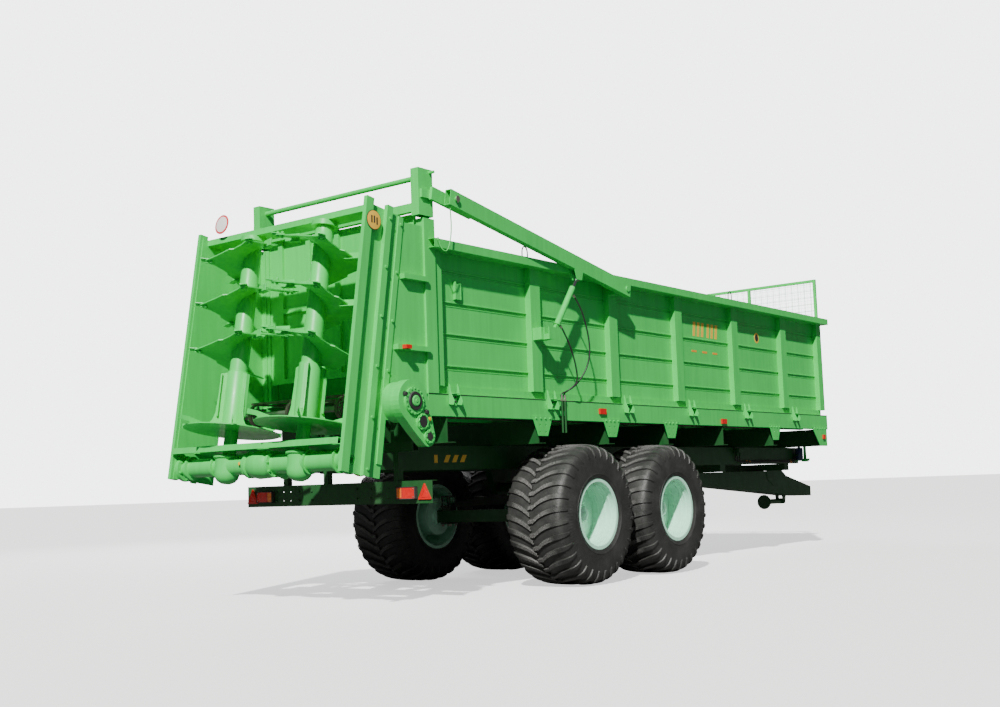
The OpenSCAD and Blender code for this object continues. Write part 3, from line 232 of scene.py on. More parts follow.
def finish_coat(name, colour, rough=0.35, metallic=0.0, worn=(0.10, 0.12, 0.10, 1), wear=0.35, width=0.004,
                dust=0.25, dust_colour=GREY_DUST, reach=1.6, drift=0.12, grain=0.0006, grain_scale=160.0,
                coat=0.0, sheen=0.0):
    """A material from the three shared effects: a coat that fades, wears at its edges and gathers dust."""
    material = bpy.data.materials.new(name)
    material.use_nodes = True
    tree = material.node_tree
    shader = tree.nodes["Principled BSDF"]
    place = node(tree, "TexCoord").outputs["Object"]
    rgba = (*colour, 1)
    seen = use(tree, faded_coat, [("Position", place), ("Colour", rgba), ("Drift", drift)])
    bare = use(tree, edge_wear, [("Position", place), ("Width", width), ("Amount", wear)])
    seen = blend_colour(tree, bare, seen, worn)
    dirt = use(tree, road_dust, [("Position", place), ("Amount", dust), ("Reach", reach)])
    seen = blend_colour(tree, dirt, seen, dust_colour)
    tree.links.new(seen, shader.inputs["Base Color"])
    mottled = spread(tree, noise(tree, place, 7.0, 4.0), 0.3, 0.7, rough - 0.05, rough + 0.09)
    mottled = sums(tree, "ADD", mottled, sums(tree, "MULTIPLY", dirt, 0.5))
    tree.links.new(mottled, shader.inputs["Roughness"])
    fine = noise(tree, place, grain_scale, 2.0)
    bump = node(tree, "Bump", [("Height", fine), ("Distance", grain), ("Strength", 0.5)])
    tree.links.new(bump.outputs[0], shader.inputs["Normal"])
    shader.inputs["Metallic"].default_value = metallic
    shader.inputs["Coat Weight"].default_value = coat
    shader.inputs["Sheen Weight"].default_value = sheen
    return material


def dress(name, material):
    """Gives a carried-over CAD node its material in every slot."""
    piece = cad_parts[name]
    if not piece.data.materials:
        piece.data.materials.append(material)
    for i in range(len(piece.material_slots)):
        piece.material_slots[i].material = material


hose_rubber = finish_coat("hose_rubber", (0.012, 0.012, 0.013), rough=0.45, worn=(0.06, 0.06, 0.06, 1), dust=0.25,
                          grain=0.0008, grain_scale=420.0)
plated_steel = finish_coat("plated_steel", (0.52, 0.50, 0.42), rough=0.34, metallic=0.9, worn=(0.7, 0.7, 0.7, 1),
                           dust=0.25, grain=0.0003)

HOSE = 0.016
HOSE_LOW = [(1876.4, 1239, 2648.7), (1924, 1239, 2613), (2030, 1250, 2450), (2120, 1250, 2250), (2150, 1235, 2090),
            (2090, 1170, 2000), (2005, 1140, 1960), (2005, 1140, 1900)]
HOSE_HIGH = [(2134, 1239, 2993), (2182, 1239, 2957), (2270, 1255, 2820), (2340, 1270, 2600), (2360, 1270, 2400),
             (2320, 1240, 2220), (2200, 1190, 2060), (2060, 1140, 1970), (2060, 1140, 1900)]


def smooth_route(corners, steps=8):
    """Points along a curve through the corners, in metres (Catmull-Rom, as the part's own hose)."""
    points = [Vector(c) for c in corners]
    ends = [points[0] * 2 - points[1]] + points + [points[-1] * 2 - points[-2]]
    route = []
    for a, b, c, d in zip(ends, ends[1:], ends[2:], ends[3:]):
        for k in range(steps):
            t = k / steps
            route.append(((b * 2) + (c - a) * t + (a * 2 - b * 5 + c * 4 - d) * t ** 2
                          + (b * 3 - a - c * 3 + d) * t ** 3) / 2)
    return route + [points[-1]]


def line_curve(name, points, radius, material, sides=3):
    """A round line along points, as a curve of one open spline."""
    data = bpy.data.curves.new(name, "CURVE")
    data.dimensions = "3D"
    data.bevel_depth = radius
    data.bevel_resolution = sides
    data.use_fill_caps = True
    line = data.splines.new("POLY")
    line.points.add(len(points) - 1)
    for point, place in zip(line.points, points):
        point.co = (*place, 1)
    data.materials.append(material)
    piece = bpy.data.objects.new(name, data)
    bpy.context.collection.objects.link(piece)
    return piece


for side, sign in (("left", 1), ("right", -1)):
    for label, corners in (("low", HOSE_LOW), ("high", HOSE_HIGH)):
        route = [at(p[0] / 1000, sign * p[1] / 1000, p[2] / 1000) for p in smooth_route(corners)]
        hose = line_curve(side + "_" + label + "_hose", route, HOSE / 2, hose_rubber)
        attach(hose, "trailer")
        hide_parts(side + "_hose_" + label)

# ---------------------------------------------------------------------------
# Chassis: two folded channel beams with cross bearers and floor joists, welded.
# Their green is the body green darkened as painted shade, for the body's shadow.

LIT_GREEN = (0.045, 0.62, 0.105)
# The chassis green: the body green darkened as painted shade.
SHADE_DARKENED_GREEN = (0.008, 0.085, 0.018)

body_paint = finish_coat("body_paint", LIT_GREEN, rough=0.36, worn=(0.012, 0.15, 0.02, 1), wear=0.25, dust=0.06,
                         drift=0.10, coat=0.15)
# The chassis coat: painted shade in its base colour, with real dust and edge wear on top.
chassis_shade_paint = finish_coat("chassis_shade_paint", SHADE_DARKENED_GREEN, rough=0.42, worn=(0.10, 0.10, 0.09, 1), wear=0.4, dust=0.45,
                            dust_colour=(0.10, 0.11, 0.08, 1), reach=1.5, drift=0.18)
for name in ("chassis_beams", "cross_bearers", "light_bar", "drawbar", "towing_eye", "jack_leg",
             "jack_foot", "bogie_hangers", "axle_beams", "rear_subframe", "hydraulic_pipes"):
    dress(name, chassis_shade_paint)

# ---------------------------------------------------------------------------
# Floor and body: folded steel sheets with rolled grooves, box posts outside them,
# box rails on top. All one gloss green, welded before painting.

floor_paint_green = finish_coat("floor_paint", (0.06, 0.24, 0.075), rough=0.5, worn=(0.22, 0.22, 0.20, 1), wear=0.6,
                                dust=0.6, dust_colour=(0.16, 0.13, 0.09, 1), reach=2.6, drift=0.25)
dress("floor_deck", floor_paint_green)
for name in ("floor_beams", "side_walls", "side_posts", "top_rails", "front_wall", "front_guard", "rear_posts",
             "gate_sheet",
             "gate_head", "gate_yokes", "left_lift_arm", "right_lift_arm", "lift_brackets", "left_ram_barrel",
             "right_ram_barrel", "gusset_plates", "frame_sides", "frame_channels", "frame_webs", "frame_top_beam",
             "gear_tube", "gearbox", "left_beater_tube", "right_beater_tube", "left_beater_flight",
             "right_beater_flight", "side_reducer"):
    dress(name, body_paint)

# ---------------------------------------------------------------------------
# Moving steel: ram rods in hard chrome, shafts turned from bar, chains and
# slats of oiled carbon steel that the load keeps scoured.

chrome = finish_coat("ram_chrome", (0.62, 0.63, 0.64), rough=0.12, metallic=1.0, wear=0.1, dust=0.15, grain=0.0001)
shaft_steel = finish_coat("shaft_steel", (0.30, 0.29, 0.27), rough=0.4, metallic=0.9, worn=(0.5, 0.5, 0.5, 1),
                          dust=0.35, grain=0.0006)
chain_steel = finish_coat("chain_steel", (0.16, 0.14, 0.12), rough=0.42, metallic=0.85, worn=(0.45, 0.44, 0.42, 1),
                          wear=0.8, dust=0.5, dust_colour=(0.14, 0.10, 0.06, 1), reach=2.4, drift=0.4, grain=0.002)
for name in ("left_ram_rod", "right_ram_rod"):
    dress(name, chrome)
for name in ("drive_shaft", "idler_shaft", "line_shaft"):
    dress(name, shaft_steel)
for name in ("conveyor_chains", "conveyor_slats"):
    dress(name, chain_steel)

# ---------------------------------------------------------------------------
# Rear lamps: red ribbed lenses with triangles beside them.

lamp_red = bpy.data.materials.new("lamp_red")
lamp_red.use_nodes = True
tree = lamp_red.node_tree
place = node(tree, "TexCoord").outputs["Object"]
ribs = node(tree, "TexWave", [("Vector", place), ("Scale", 60.0), ("Distortion", 0.0)], bands_direction="Y")
shader = tree.nodes["Principled BSDF"]
red_mix = blend_colour(tree, noise(tree, place, 30.0), (0.42, 0.004, 0.004, 1), (0.75, 0.02, 0.012, 1))
tree.links.new(red_mix, shader.inputs["Base Color"])
bump = node(tree, "Bump", [("Height", ribs.outputs["Fac"]), ("Distance", 0.001), ("Strength", 0.6)])
tree.links.new(bump.outputs[0], shader.inputs["Normal"])
tree.links.new(red_mix, shader.inputs["Emission Color"])
shader.inputs["Emission Strength"].default_value = 0.10
shader.inputs["Roughness"].default_value = 0.18
shader.inputs["Coat Weight"].default_value = 0.5
dress("lamps", lamp_red)

# ---------------------------------------------------------------------------
# Bogie: two axles on rocking leaf springs, and four wide flotation tyres on
# pale mint rims. The tread is long angled lugs that wrap over the shoulder.

spring_paint = finish_coat("spring_paint", (0.02, 0.05, 0.025), rough=0.5, worn=(0.16, 0.10, 0.06, 1), wear=0.6,
                           dust=0.5, reach=1.3)
dress("leaf_springs", spring_paint)
rim_mint = finish_coat("rim_mint", (0.50, 0.93, 0.70), rough=0.22, worn=(0.35, 0.45, 0.38, 1), wear=0.15, dust=0.08,
                       drift=0.05, grain=0.0002, coat=0.4)

tyre_rubber = bpy.data.materials.new("tyre_rubber")
tyre_rubber.use_nodes = True
tree = tyre_rubber.node_tree
place = node(tree, "TexCoord").outputs["Object"]
shader = tree.nodes["Principled BSDF"]
radius = node(tree, "Attribute", attribute_name="radius").outputs["Fac"]
around = node(tree, "Attribute", attribute_name="around").outputs["Fac"]
clouds = spread(tree, noise(tree, place, 5.0, 6.0, 0.7), 0.35, 0.68)
speckle = spread(tree, noise(tree, place, 140.0, 3.0, 0.8), 0.42, 0.62)
dusty = sums(tree, "MULTIPLY", spread(tree, radius, 0.709, 0.7175, 0.12, 0.85), speckle)
dusty = sums(tree, "MAXIMUM", dusty, sums(tree, "MULTIPLY", clouds, 0.16))
seen = blend_colour(tree, dusty, (0.012, 0.013, 0.012, 1), (0.25, 0.25, 0.24, 1))
tree.links.new(seen, shader.inputs["Base Color"])
rings = sums(tree, "SINE", sums(tree, "MULTIPLY", radius, 900.0), 0.0)
spokes = sums(tree, "SINE", sums(tree, "MULTIPLY", around, 220.0), 0.0)
low_wall = spread(tree, radius, 0.475, 0.465)
mid_wall = sums(tree, "MULTIPLY", spread(tree, radius, 0.480, 0.490), spread(tree, radius, 0.600, 0.590))
ribbing = sums(tree, "ADD", sums(tree, "MULTIPLY", rings, low_wall), sums(tree, "MULTIPLY", spokes, mid_wall))
grit = sums(tree, "ADD", ribbing, sums(tree, "MULTIPLY", speckle, 0.8))
bump = node(tree, "Bump", [("Height", grit), ("Distance", 0.0012), ("Strength", 0.6)])
tree.links.new(bump.outputs[0], shader.inputs["Normal"])
tree.links.new(spread(tree, dusty, 0.0, 0.6, 0.42, 0.85), shader.inputs["Roughness"])

AXLES = (2.174, 3.758)
WHEEL_Y = 1.087
TYRE_R = 0.720
LUGS = 32
# The carcass in section: across from the tyre's middle, and out from the axle
WALL_OUTSIDE = [(0.328, 0.338), (0.328, 0.3625), (0.345, 0.3635), (0.352, 0.376), (0.3565, 0.400), (0.3595, 0.403),
                (0.3595, 0.409), (0.3565, 0.412), (0.3575, 0.470), (0.3560, 0.540), (0.3500, 0.600), (0.3380, 0.645),
                (0.3150, 0.672), (0.2800, 0.686), (0.2000, 0.694), (0.0900, 0.698)]
WALL_INSIDE = [(0.040, 0.662), (0.250, 0.652), (0.310, 0.610), (0.330, 0.540), (0.330, 0.440), (0.302, 0.400),
               (0.300, 0.338)]
section = WALL_OUTSIDE + [(-a, r) for a, r in reversed(WALL_OUTSIDE)]
section += [(-a, r) for a, r in reversed(WALL_INSIDE)] + WALL_INSIDE


def fresh(kind, **where):
    """Adds a primitive with nothing else selected."""
    if bpy.context.object and bpy.context.object.mode != "OBJECT":
        bpy.ops.object.mode_set(mode="OBJECT")
    bpy.ops.object.select_all(action="DESELECT")
    getattr(bpy.ops.mesh, "primitive_" + kind + "_add")(**where)
    return bpy.context.object


def pick(piece, test=None):
    """Edit mode on piece with the faces that pass test selected, or all of them."""
    if bpy.context.object.mode != "OBJECT":
        bpy.ops.object.mode_set(mode="OBJECT")
    bpy.ops.object.select_all(action="DESELECT")
    piece.select_set(True)
    bpy.context.view_layer.objects.active = piece
    bpy.ops.object.mode_set(mode="EDIT")
    bpy.ops.mesh.select_mode(type="FACE")
    bpy.ops.mesh.select_all(action="SELECT" if test is None else "DESELECT")
    if test is not None:
        mesh = bmesh.from_edit_mesh(piece.data)
        for face in mesh.faces:
            face.select_set(test(face))
        mesh.select_flush_mode()
        bmesh.update_edit_mesh(piece.data)


def done():
    bpy.ops.object.mode_set(mode="OBJECT")


def join(parts):
    """Joins parts into the first of them."""
    bpy.ops.object.select_all(action="DESELECT")
    for part in parts:
        part.select_set(True)
    bpy.context.view_layer.objects.active = parts[0]
    bpy.ops.object.join()
    return parts[0]


def copies(piece, moves):
    """Copies of piece, each with its own mesh, moved by each matrix and joined with it; piece itself goes first."""
    made = []
    for move in moves[1:]:
        twin = piece.copy()
        twin.data = piece.data.copy()
        twin.data.transform(move)
        bpy.context.collection.objects.link(twin)
        made.append(twin)
    piece.data.transform(moves[0])
    return join([piece] + made)


def settle(piece, name, body, material, smooth=35, outward=True):
    """Names the finished piece, applies its place, smooths it, and ties it to its body."""
    bpy.ops.object.select_all(action="DESELECT")
    piece.select_set(True)
    bpy.context.view_layer.objects.active = piece
    bpy.ops.object.transform_apply(location=True, rotation=True, scale=True)
    if outward:
        pick(piece)
        bpy.ops.mesh.normals_make_consistent(inside=False)
        done()
    bpy.ops.object.shade_smooth_by_angle(angle=math.radians(smooth))
    piece.name = name
    piece.data.materials.clear()
    piece.data.materials.append(material)
    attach(piece, body)
    return piece


def turned(section, steps=48):
    """A ring turned round the Y axis from a closed section of (across, radius)."""
    piece = fresh("circle", vertices=len(section), radius=1, fill_type="NOTHING")
    for corner, (across, radius) in zip(piece.data.vertices, section):
        corner.co = (0, across, radius)
    bpy.ops.object.mode_set(mode="EDIT")
    bpy.ops.mesh.select_all(action="SELECT")
    bpy.ops.mesh.spin(steps=steps, angle=2 * math.pi, center=(0, 0, 0), axis=(0, 1, 0))
    bpy.ops.mesh.select_all(action="SELECT")
    bpy.ops.mesh.remove_doubles(threshold=0.0004)
    bpy.ops.mesh.normals_make_consistent(inside=False)
    done()
    return piece


def lug(stations, lower, floor):
    """One lug: stations of (along the tread, across, radius, half width), draft sides, closed underneath."""
    rows = len(stations)
    piece = fresh("grid", x_subdivisions=rows - 1, y_subdivisions=3, size=1)
    edges = sorted({round(v.co.x, 4) for v in piece.data.vertices})
    lanes = sorted({round(v.co.y, 4) for v in piece.data.vertices})
    for corner in piece.data.vertices:
        row = edges.index(round(corner.co.x, 4))
        lane = lanes.index(round(corner.co.y, 4))
        along, across, radius, half = stations[row]
        outer = lane in (0, 3)
        along += (half + (0.007 if outer else 0)) * (-1 if lane < 2 else 1)
        sunk = radius - lower if outer else radius
        turn = along / TYRE_R
        inward = 0.010 if outer and row > rows - 4 else 0
        corner.co = (sunk * math.sin(turn), across - inward, sunk * math.cos(turn))
    solid = piece.modifiers.new("depth", "SOLIDIFY")
    solid.thickness = floor
    solid.offset = 1
    solid.use_even_offset = False
    bpy.ops.object.modifier_apply(modifier="depth")
    return piece


carcass = turned(section, 96)
SHOULDER_LUG = [(-0.050, 0.014, 0.7190, 0.016), (-0.020, 0.050, 0.7192, 0.019), (0.020, 0.110, 0.7188, 0.021),
                (0.048, 0.175, 0.7165, 0.022), (0.066, 0.235, 0.7110, 0.023), (0.076, 0.285, 0.7010, 0.024),
                (0.080, 0.322, 0.6830, 0.023), (0.082, 0.348, 0.6520, 0.019), (0.082, 0.3600, 0.6120, 0.013),
                (0.082, 0.3610, 0.5850, 0.009)]
MIDDLE_BLOCK = [(0.004, -0.034, 0.7190, 0.016), (0.012, 0.000, 0.7195, 0.020), (0.020, 0.034, 0.7190, 0.016)]
pitch = 2 * math.pi / LUGS
shoulder = lug(SHOULDER_LUG, 0.020, 0.010)
turns = [Matrix.Rotation(k * pitch, 4, "Y") for k in range(LUGS)]
far_row = [Matrix.Rotation((k + 0.5) * pitch, 4, "Y") @ Matrix.Scale(-1, 4, (0, 1, 0)) for k in range(LUGS)]
lugs = copies(shoulder, turns + far_row)
middle = copies(lug(MIDDLE_BLOCK, 0.020, 0.010), [Matrix.Rotation((k + 0.62) * pitch, 4, "Y") for k in range(LUGS)])
master = join([carcass, lugs, middle])
for axle, place_name in zip(AXLES, ("rear", "front")):
    for side, sign in (("left", 1), ("right", -1)):
        tyre = master.copy()
        tyre.data = master.data.copy()
        bpy.context.collection.objects.link(tyre)
        for label, value in (("radius", lambda p: math.hypot(p.x, p.z)), ("around",
                                                                          lambda p: math.atan2(p.x, p.z) * 0.5)):
            layer = tyre.data.attributes.new(label, "FLOAT", "POINT")
            for corner, cell in zip(tyre.data.vertices, layer.data):
                cell.value = value(corner.co)
        tyre.data.transform(Matrix.Rotation(axle * 0.9, 4, "Y"))
        tyre.data.transform(Matrix.Scale(sign, 4, (0, 1, 0)))
        tyre.data.transform(Matrix.Translation(at(axle, sign * WHEEL_Y, TYRE_R)))
        body = side + "_" + place_name + "_wheel"
        settle(tyre, side + "_" + place_name + "_lugged_tyre", body, tyre_rubber)
        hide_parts(side + "_" + place_name + "_tyre")
        dress(side + "_" + place_name + "_rim", rim_mint)
bpy.data.objects.remove(master)


# ---------------------------------------------------------------------------
# Hubs: a domed grease cap, ten wheel nuts with flat washers, and a bent valve.
# The cap is pressed steel; nuts are plated and run on the rim's own studs.

NUTS = 10
NUT_CIRCLE = 0.132
DISC_FACE = 1.130


def box_piece(low, high, bevel=0.003, segments=1):
    """A block between two corners with its edges bevelled."""
    low, high = Vector(low), Vector(high)
    piece = fresh("cube", size=1, location=(low + high) / 2)
    pick(piece)
    bpy.ops.transform.resize(value=high - low)
    if bevel:
        bpy.ops.mesh.bevel(offset=bevel, segments=segments, affect="EDGES")
    done()
    bpy.ops.object.transform_apply(location=True, rotation=True, scale=True)
    return piece


def rod_piece(start, end, radius, sides=16, chamfer=0.0, tip=None):
    """A round bar from start to end, its end edges chamfered; tip is the far end's radius if it tapers."""
    start, end = Vector(start), Vector(end)
    axis = end - start
    if tip is None:
        piece = fresh("cylinder", vertices=sides, radius=radius, depth=axis.length)
    else:
        piece = fresh("cone", vertices=sides, radius1=radius, radius2=tip, depth=axis.length)
    if chamfer:
        pick(piece, lambda face: abs(face.normal.z) > 0.9)
        bpy.ops.mesh.bevel(offset=chamfer, segments=1, affect="EDGES")
        done()
    piece.data.transform(Matrix.Translation((start + end) / 2) @ axis.to_track_quat("Z", "Y").to_matrix().to_4x4())
    return piece


def facing(place, normal):
    """The matrix that stands a piece made along +Z at place, looking along normal."""
    return Matrix.Translation(place) @ Vector(normal).to_track_quat("Z", "Y").to_matrix().to_4x4()


def bolt_piece(across=0.024, tall=0.011, washer=0.017):
    """A hexagon bolt head on its washer, standing on the XY plane."""
    ring = fresh("cylinder", vertices=14, radius=washer, depth=0.003, location=(0, 0, 0.0010))
    head = fresh("cylinder", vertices=6, radius=across / 2, depth=tall, location=(0, 0, tall / 2 + 0.002))
    pick(head, lambda face: face.normal.z > 0.9)
    bpy.ops.mesh.inset(thickness=across * 0.10, depth=across * 0.05)
    done()
    return join([ring, head])


def bolts(name, places, normal, body, material, slot, **size):
    """One piece of like bolts at these places, all looking along normal."""
    return settle(copies(bolt_piece(**size), [facing(place, normal) for place in places]), name, body, material,
                  outward=False)


for axle, place_name in zip(AXLES, ("rear", "front")):
    for side, sign in (("left", 1), ("right", -1)):
        body = side + "_" + place_name + "_wheel"
        centre = at(axle, sign * DISC_FACE, TYRE_R)
        circle = [centre + Vector((NUT_CIRCLE * math.cos(k * math.tau / NUTS), 0,
                                   NUT_CIRCLE * math.sin(k * math.tau / NUTS)))
                  for k in range(NUTS)]
        nuts = copies(bolt_piece(across=0.036, tall=0.020, washer=0.022), [facing(spot, (0, sign, 0))
                                                                           for spot in circle])
        settle(nuts, body + "_nuts", body, plated_steel, outward=False)
        cap = turned([(1.128, 0.086), (1.132, 0.098), (1.142, 0.098), (1.146, 0.086), (1.236, 0.084), (1.248, 0.074),
                      (1.254, 0.050), (1.254, 0.020), (1.260, 0.017), (1.260, 0.002), (1.128, 0.002)], 32)
        cap.data.transform(Matrix.Translation(at(axle, 0, TYRE_R)) @ Matrix.Scale(sign, 4, (0, 1, 0)))
        settle(cap, body + "_hub_cap", body, rim_mint)
        steps = []
        for across, radius in ((1.200, 0.327), (1.290, 0.327), (1.352, 0.327), (1.418, 0.329)):
            steps.append(turned([(across - 0.010, radius + 0.004), (across - 0.006, radius - 0.006),
                                 (across + 0.006, radius - 0.006), (across + 0.010, radius + 0.004)], 64))
        well = join(steps)
        well.data.transform(Matrix.Translation(at(axle, 0, TYRE_R)) @ Matrix.Scale(sign, 4, (0, 1, 0)))
        settle(well, body + "_rim_beads", body, rim_mint)
        stem = at(axle, sign * 1.36, TYRE_R + 0.318)
        valve = join([rod_piece(stem, stem + Vector((0.0, sign * 0.030, -0.016)), 0.006, 10, 0.001),
                      rod_piece(stem + Vector((0, sign * 0.028, -0.015)),
                                stem + Vector((0, sign * 0.052, -0.024)), 0.0045, 10, 0.001)])
        settle(valve, body + "_valve", body, plated_steel, outward=False)

# ---------------------------------------------------------------------------
# Beaters: rolled flight plates with scalloped edges, each point carrying a
# bolted knife, and small upright paddles. Welded to the tube, knives bolted on.

LEAN = math.radians(9.4)
BEATER_FOOT = at(-1.036, 0, 1.250)
BEATER_Y = 0.482
TUBE_R = 0.085
FLIGHT_PITCH = 0.435
FLIGHT_LOW = 0.940
FLIGHT_TURN = 360 * 1.210 / 0.435
leaning = Matrix.Translation(BEATER_FOOT) @ Matrix.Rotation(LEAN, 4, "Y")
left_beater = leaning @ Matrix.Translation((0, BEATER_Y, 0))
right_beater = Matrix.Scale(-1, 4, (0, 1, 0)) @ left_beater


def scallop(angle):
    """The flight's outer radius, deep between its four points a turn, with one squarer step."""
    part = ((angle - 45) % 90) / 90
    dip = math.sin(math.pi * part) ** 0.6
    return 0.462 - 0.150 * dip - (0.030 if 0.60 < part < 0.92 else 0)


def on_flight(angle, radius, rise=0.0):
    a = math.radians(angle)
    return Vector((radius * math.cos(a), radius * math.sin(a), FLIGHT_LOW + angle / 360 * FLIGHT_PITCH + rise))


def flight():
    """The flight as one climbing sheet, given its thickness, then its knives, bolts and paddles."""
    steps, rings = 160, 5
    sheet = fresh("grid", x_subdivisions=steps, y_subdivisions=rings, size=2)
    for corner in sheet.data.vertices:
        angle = (corner.co.x + 1) / 2 * FLIGHT_TURN
        share = (corner.co.y + 1) / 2
        radius = TUBE_R - 0.003 + (scallop(angle) - TUBE_R) * share
        corner.co = on_flight(angle, radius, 0.006 * math.sin(share * math.pi))
    solid = sheet.modifiers.new("plate", "SOLIDIFY")
    solid.thickness = 0.010
    solid.offset = 0
    bpy.ops.object.modifier_apply(modifier="plate")
    pick(sheet)
    bpy.ops.mesh.normals_make_consistent(inside=False)
    done()
    parts = [sheet]
    head = bolt_piece(across=0.026, tall=0.012, washer=0.016)
    spots = []
    point = 45
    while point < FLIGHT_TURN - 5:
        climb = Matrix.Rotation(math.radians(point), 4, "Z")
        knife = box_piece((0.345, -0.034, 0.006), (0.468, 0.034, 0.015), 0.002)
        pick(knife, lambda face: face.normal.x > 0.9)
        bpy.ops.transform.resize(value=(1, 0.35, 1))
        done()
        knife.data.transform(Matrix.Translation((0, 0, on_flight(point, 0).z)) @ climb @ Matrix.Rotation(0.15, 4,
                                                                                                         "X"))
        parts.append(knife)
        for radius, along in ((0.368, -0.016), (0.368, 0.016), (0.408, 0.0)):
            spot = on_flight(point, radius, 0.015) + climb @ Vector((0, along, 0))
            spots.append(facing(spot, (0, 0, 1)))
            spots.append(facing(spot - Vector((0, 0, 0.022)), (0, 0, -1)))
        point += 90
    turn = 225
    while turn < FLIGHT_TURN:
        paddle = box_piece((0.250, -0.005, 0.004), (0.400, 0.005, 0.074), 0.002)
        foot = box_piece((0.255, -0.005, 0.004), (0.395, 0.045, 0.012), 0.002)
        angled = Matrix.Translation((0, 0, on_flight(turn, 0).z)) @ Matrix.Rotation(math.radians(turn), 4, "Z")
        for plate in (paddle, foot):
            plate.data.transform(angled @ Matrix.Rotation(0.5, 4, "Z"))
            parts.append(plate)
        turn += 180
    parts.append(copies(head, spots))
    return join(parts)


left_flight = flight()
right_flight = left_flight.copy()
right_flight.data = left_flight.data.copy()
bpy.context.collection.objects.link(right_flight)
left_flight.data.transform(left_beater)
right_flight.data.transform(right_beater)
right_flight.data.flip_normals()
settle(left_flight, "left_scalloped_flight", "left_beater", body_paint, outward=False)
settle(right_flight, "right_scalloped_flight", "right_beater", body_paint, outward=False)
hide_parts("left_beater_flight")
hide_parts("right_beater_flight")

# ---------------------------------------------------------------------------
# Side reducer: dark oil seal and bearing caps on the cast covers, two black plugs on the case,
# and oil plugs painted yellow on the case and on the gear tube.

seal_black = finish_coat("seal_black", (0.02, 0.022, 0.022), rough=0.5, worn=(0.10, 0.10, 0.10, 1), dust=0.3)
plug_yellow = finish_coat("plug_yellow", (0.75, 0.42, 0.02), rough=0.4, worn=(0.3, 0.2, 0.05, 1), dust=0.2)
CASE_FACE = 1.330
COVER_FACE = 1.348
TOP_COVER, MID_COVER, LOW_COVER = (-0.489, 1.794), (-0.389, 1.616), (-0.306, 1.489)


def cover_ring(centre, profile, name, material, steps=40):
    """A turned ring on the reducer's right face; the profile is out from the case face, and from the centre."""
    ring = turned([(-(COVER_FACE + out), radius) for out, radius in profile], steps)
    ring.data.transform(Matrix.Translation(at(centre[0], 0, centre[1])))
    return settle(ring, name, "trailer", material)


cover_ring(TOP_COVER, [(-0.002, 0.052), (0.014, 0.054), (0.014, 0.078), (-0.002, 0.084)], "reducer_oil_seal",
           seal_black)
cover_ring(TOP_COVER, [(-0.002, 0.002), (0.026, 0.002), (0.026, 0.014), (0.022, 0.016), (0.022, 0.040), (0.016,
                                                                                                         0.048),
                       (-0.002, 0.050)], "reducer_shaft_end", body_paint)
cover_ring(MID_COVER, [(-0.002, 0.002), (0.004, 0.002), (0.004, 0.050), (-0.002, 0.052)], "reducer_middle_cap",
           seal_black)
cover_ring(MID_COVER, [(-0.002, 0.0525), (0.007, 0.054), (0.007, 0.060), (-0.002, 0.062)], "reducer_middle_rim",
           body_paint)
cover_ring(LOW_COVER, [(-0.002, 0.002), (0.004, 0.002), (0.004, 0.036), (-0.002, 0.038)], "reducer_low_cap",
           seal_black)
bolts("reducer_plugs", [at(-0.330, -CASE_FACE, 1.700), at(-0.600, -CASE_FACE, 1.850)], (0, -1, 0), "trailer",
      seal_black,
      "black_rubber", across=0.040, tall=0.020, washer=0.026)
bolts("reducer_oil_plug", [at(-0.300, -CASE_FACE, 1.640)], (0, -1, 0), "trailer", plug_yellow, "body_green",
      across=0.034,
      tall=0.018, washer=0.020)
bolts("gear_tube_plug", [left_beater @ Vector((-0.088, -BEATER_Y + 0.20, 0.05))], (-1, 0, 0.16), "trailer",
      plug_yellow,
      "body_green", across=0.034, tall=0.018, washer=0.020)


# Below the flights each beater has a drum with three tall wings, curved out at
# the foot, standing on a thin dished throwing disc with low ribs.
DISC_TOP = 0.386
WING = [(0.094, 0.922), (0.150, 0.905), (0.158, 0.700), (0.166, 0.540), (0.186, 0.470), (0.226, 0.425), (0.290,
                                                                                                         0.402),
        (0.372, 0.396), (0.372, 0.384), (0.094, 0.384)]


def plate_piece(outline, thick, bevel=0.0015):
    """A flat plate from an outline in X and Z, thick along Y and centred on it."""
    piece = fresh("circle", vertices=len(outline), radius=1, fill_type="NGON")
    for corner, (x, z) in zip(piece.data.vertices, outline):
        corner.co = (x, -thick / 2, z)
    bpy.ops.object.mode_set(mode="EDIT")
    bpy.ops.mesh.select_all(action="SELECT")
    bpy.ops.mesh.extrude_region_move(TRANSFORM_OT_translate={"value": (0, thick, 0)})
    bpy.ops.mesh.select_all(action="SELECT")
    bpy.ops.mesh.normals_make_consistent(inside=False)
    if bevel:
        bpy.ops.mesh.bevel(offset=bevel, segments=1, affect="EDGES")
    done()
    return piece


def upright(section, steps=48):
    """A ring turned round Z from a closed section of (up, radius)."""
    piece = turned(section, steps)
    piece.data.transform(Matrix.Rotation(math.radians(90), 4, "X"))
    return piece


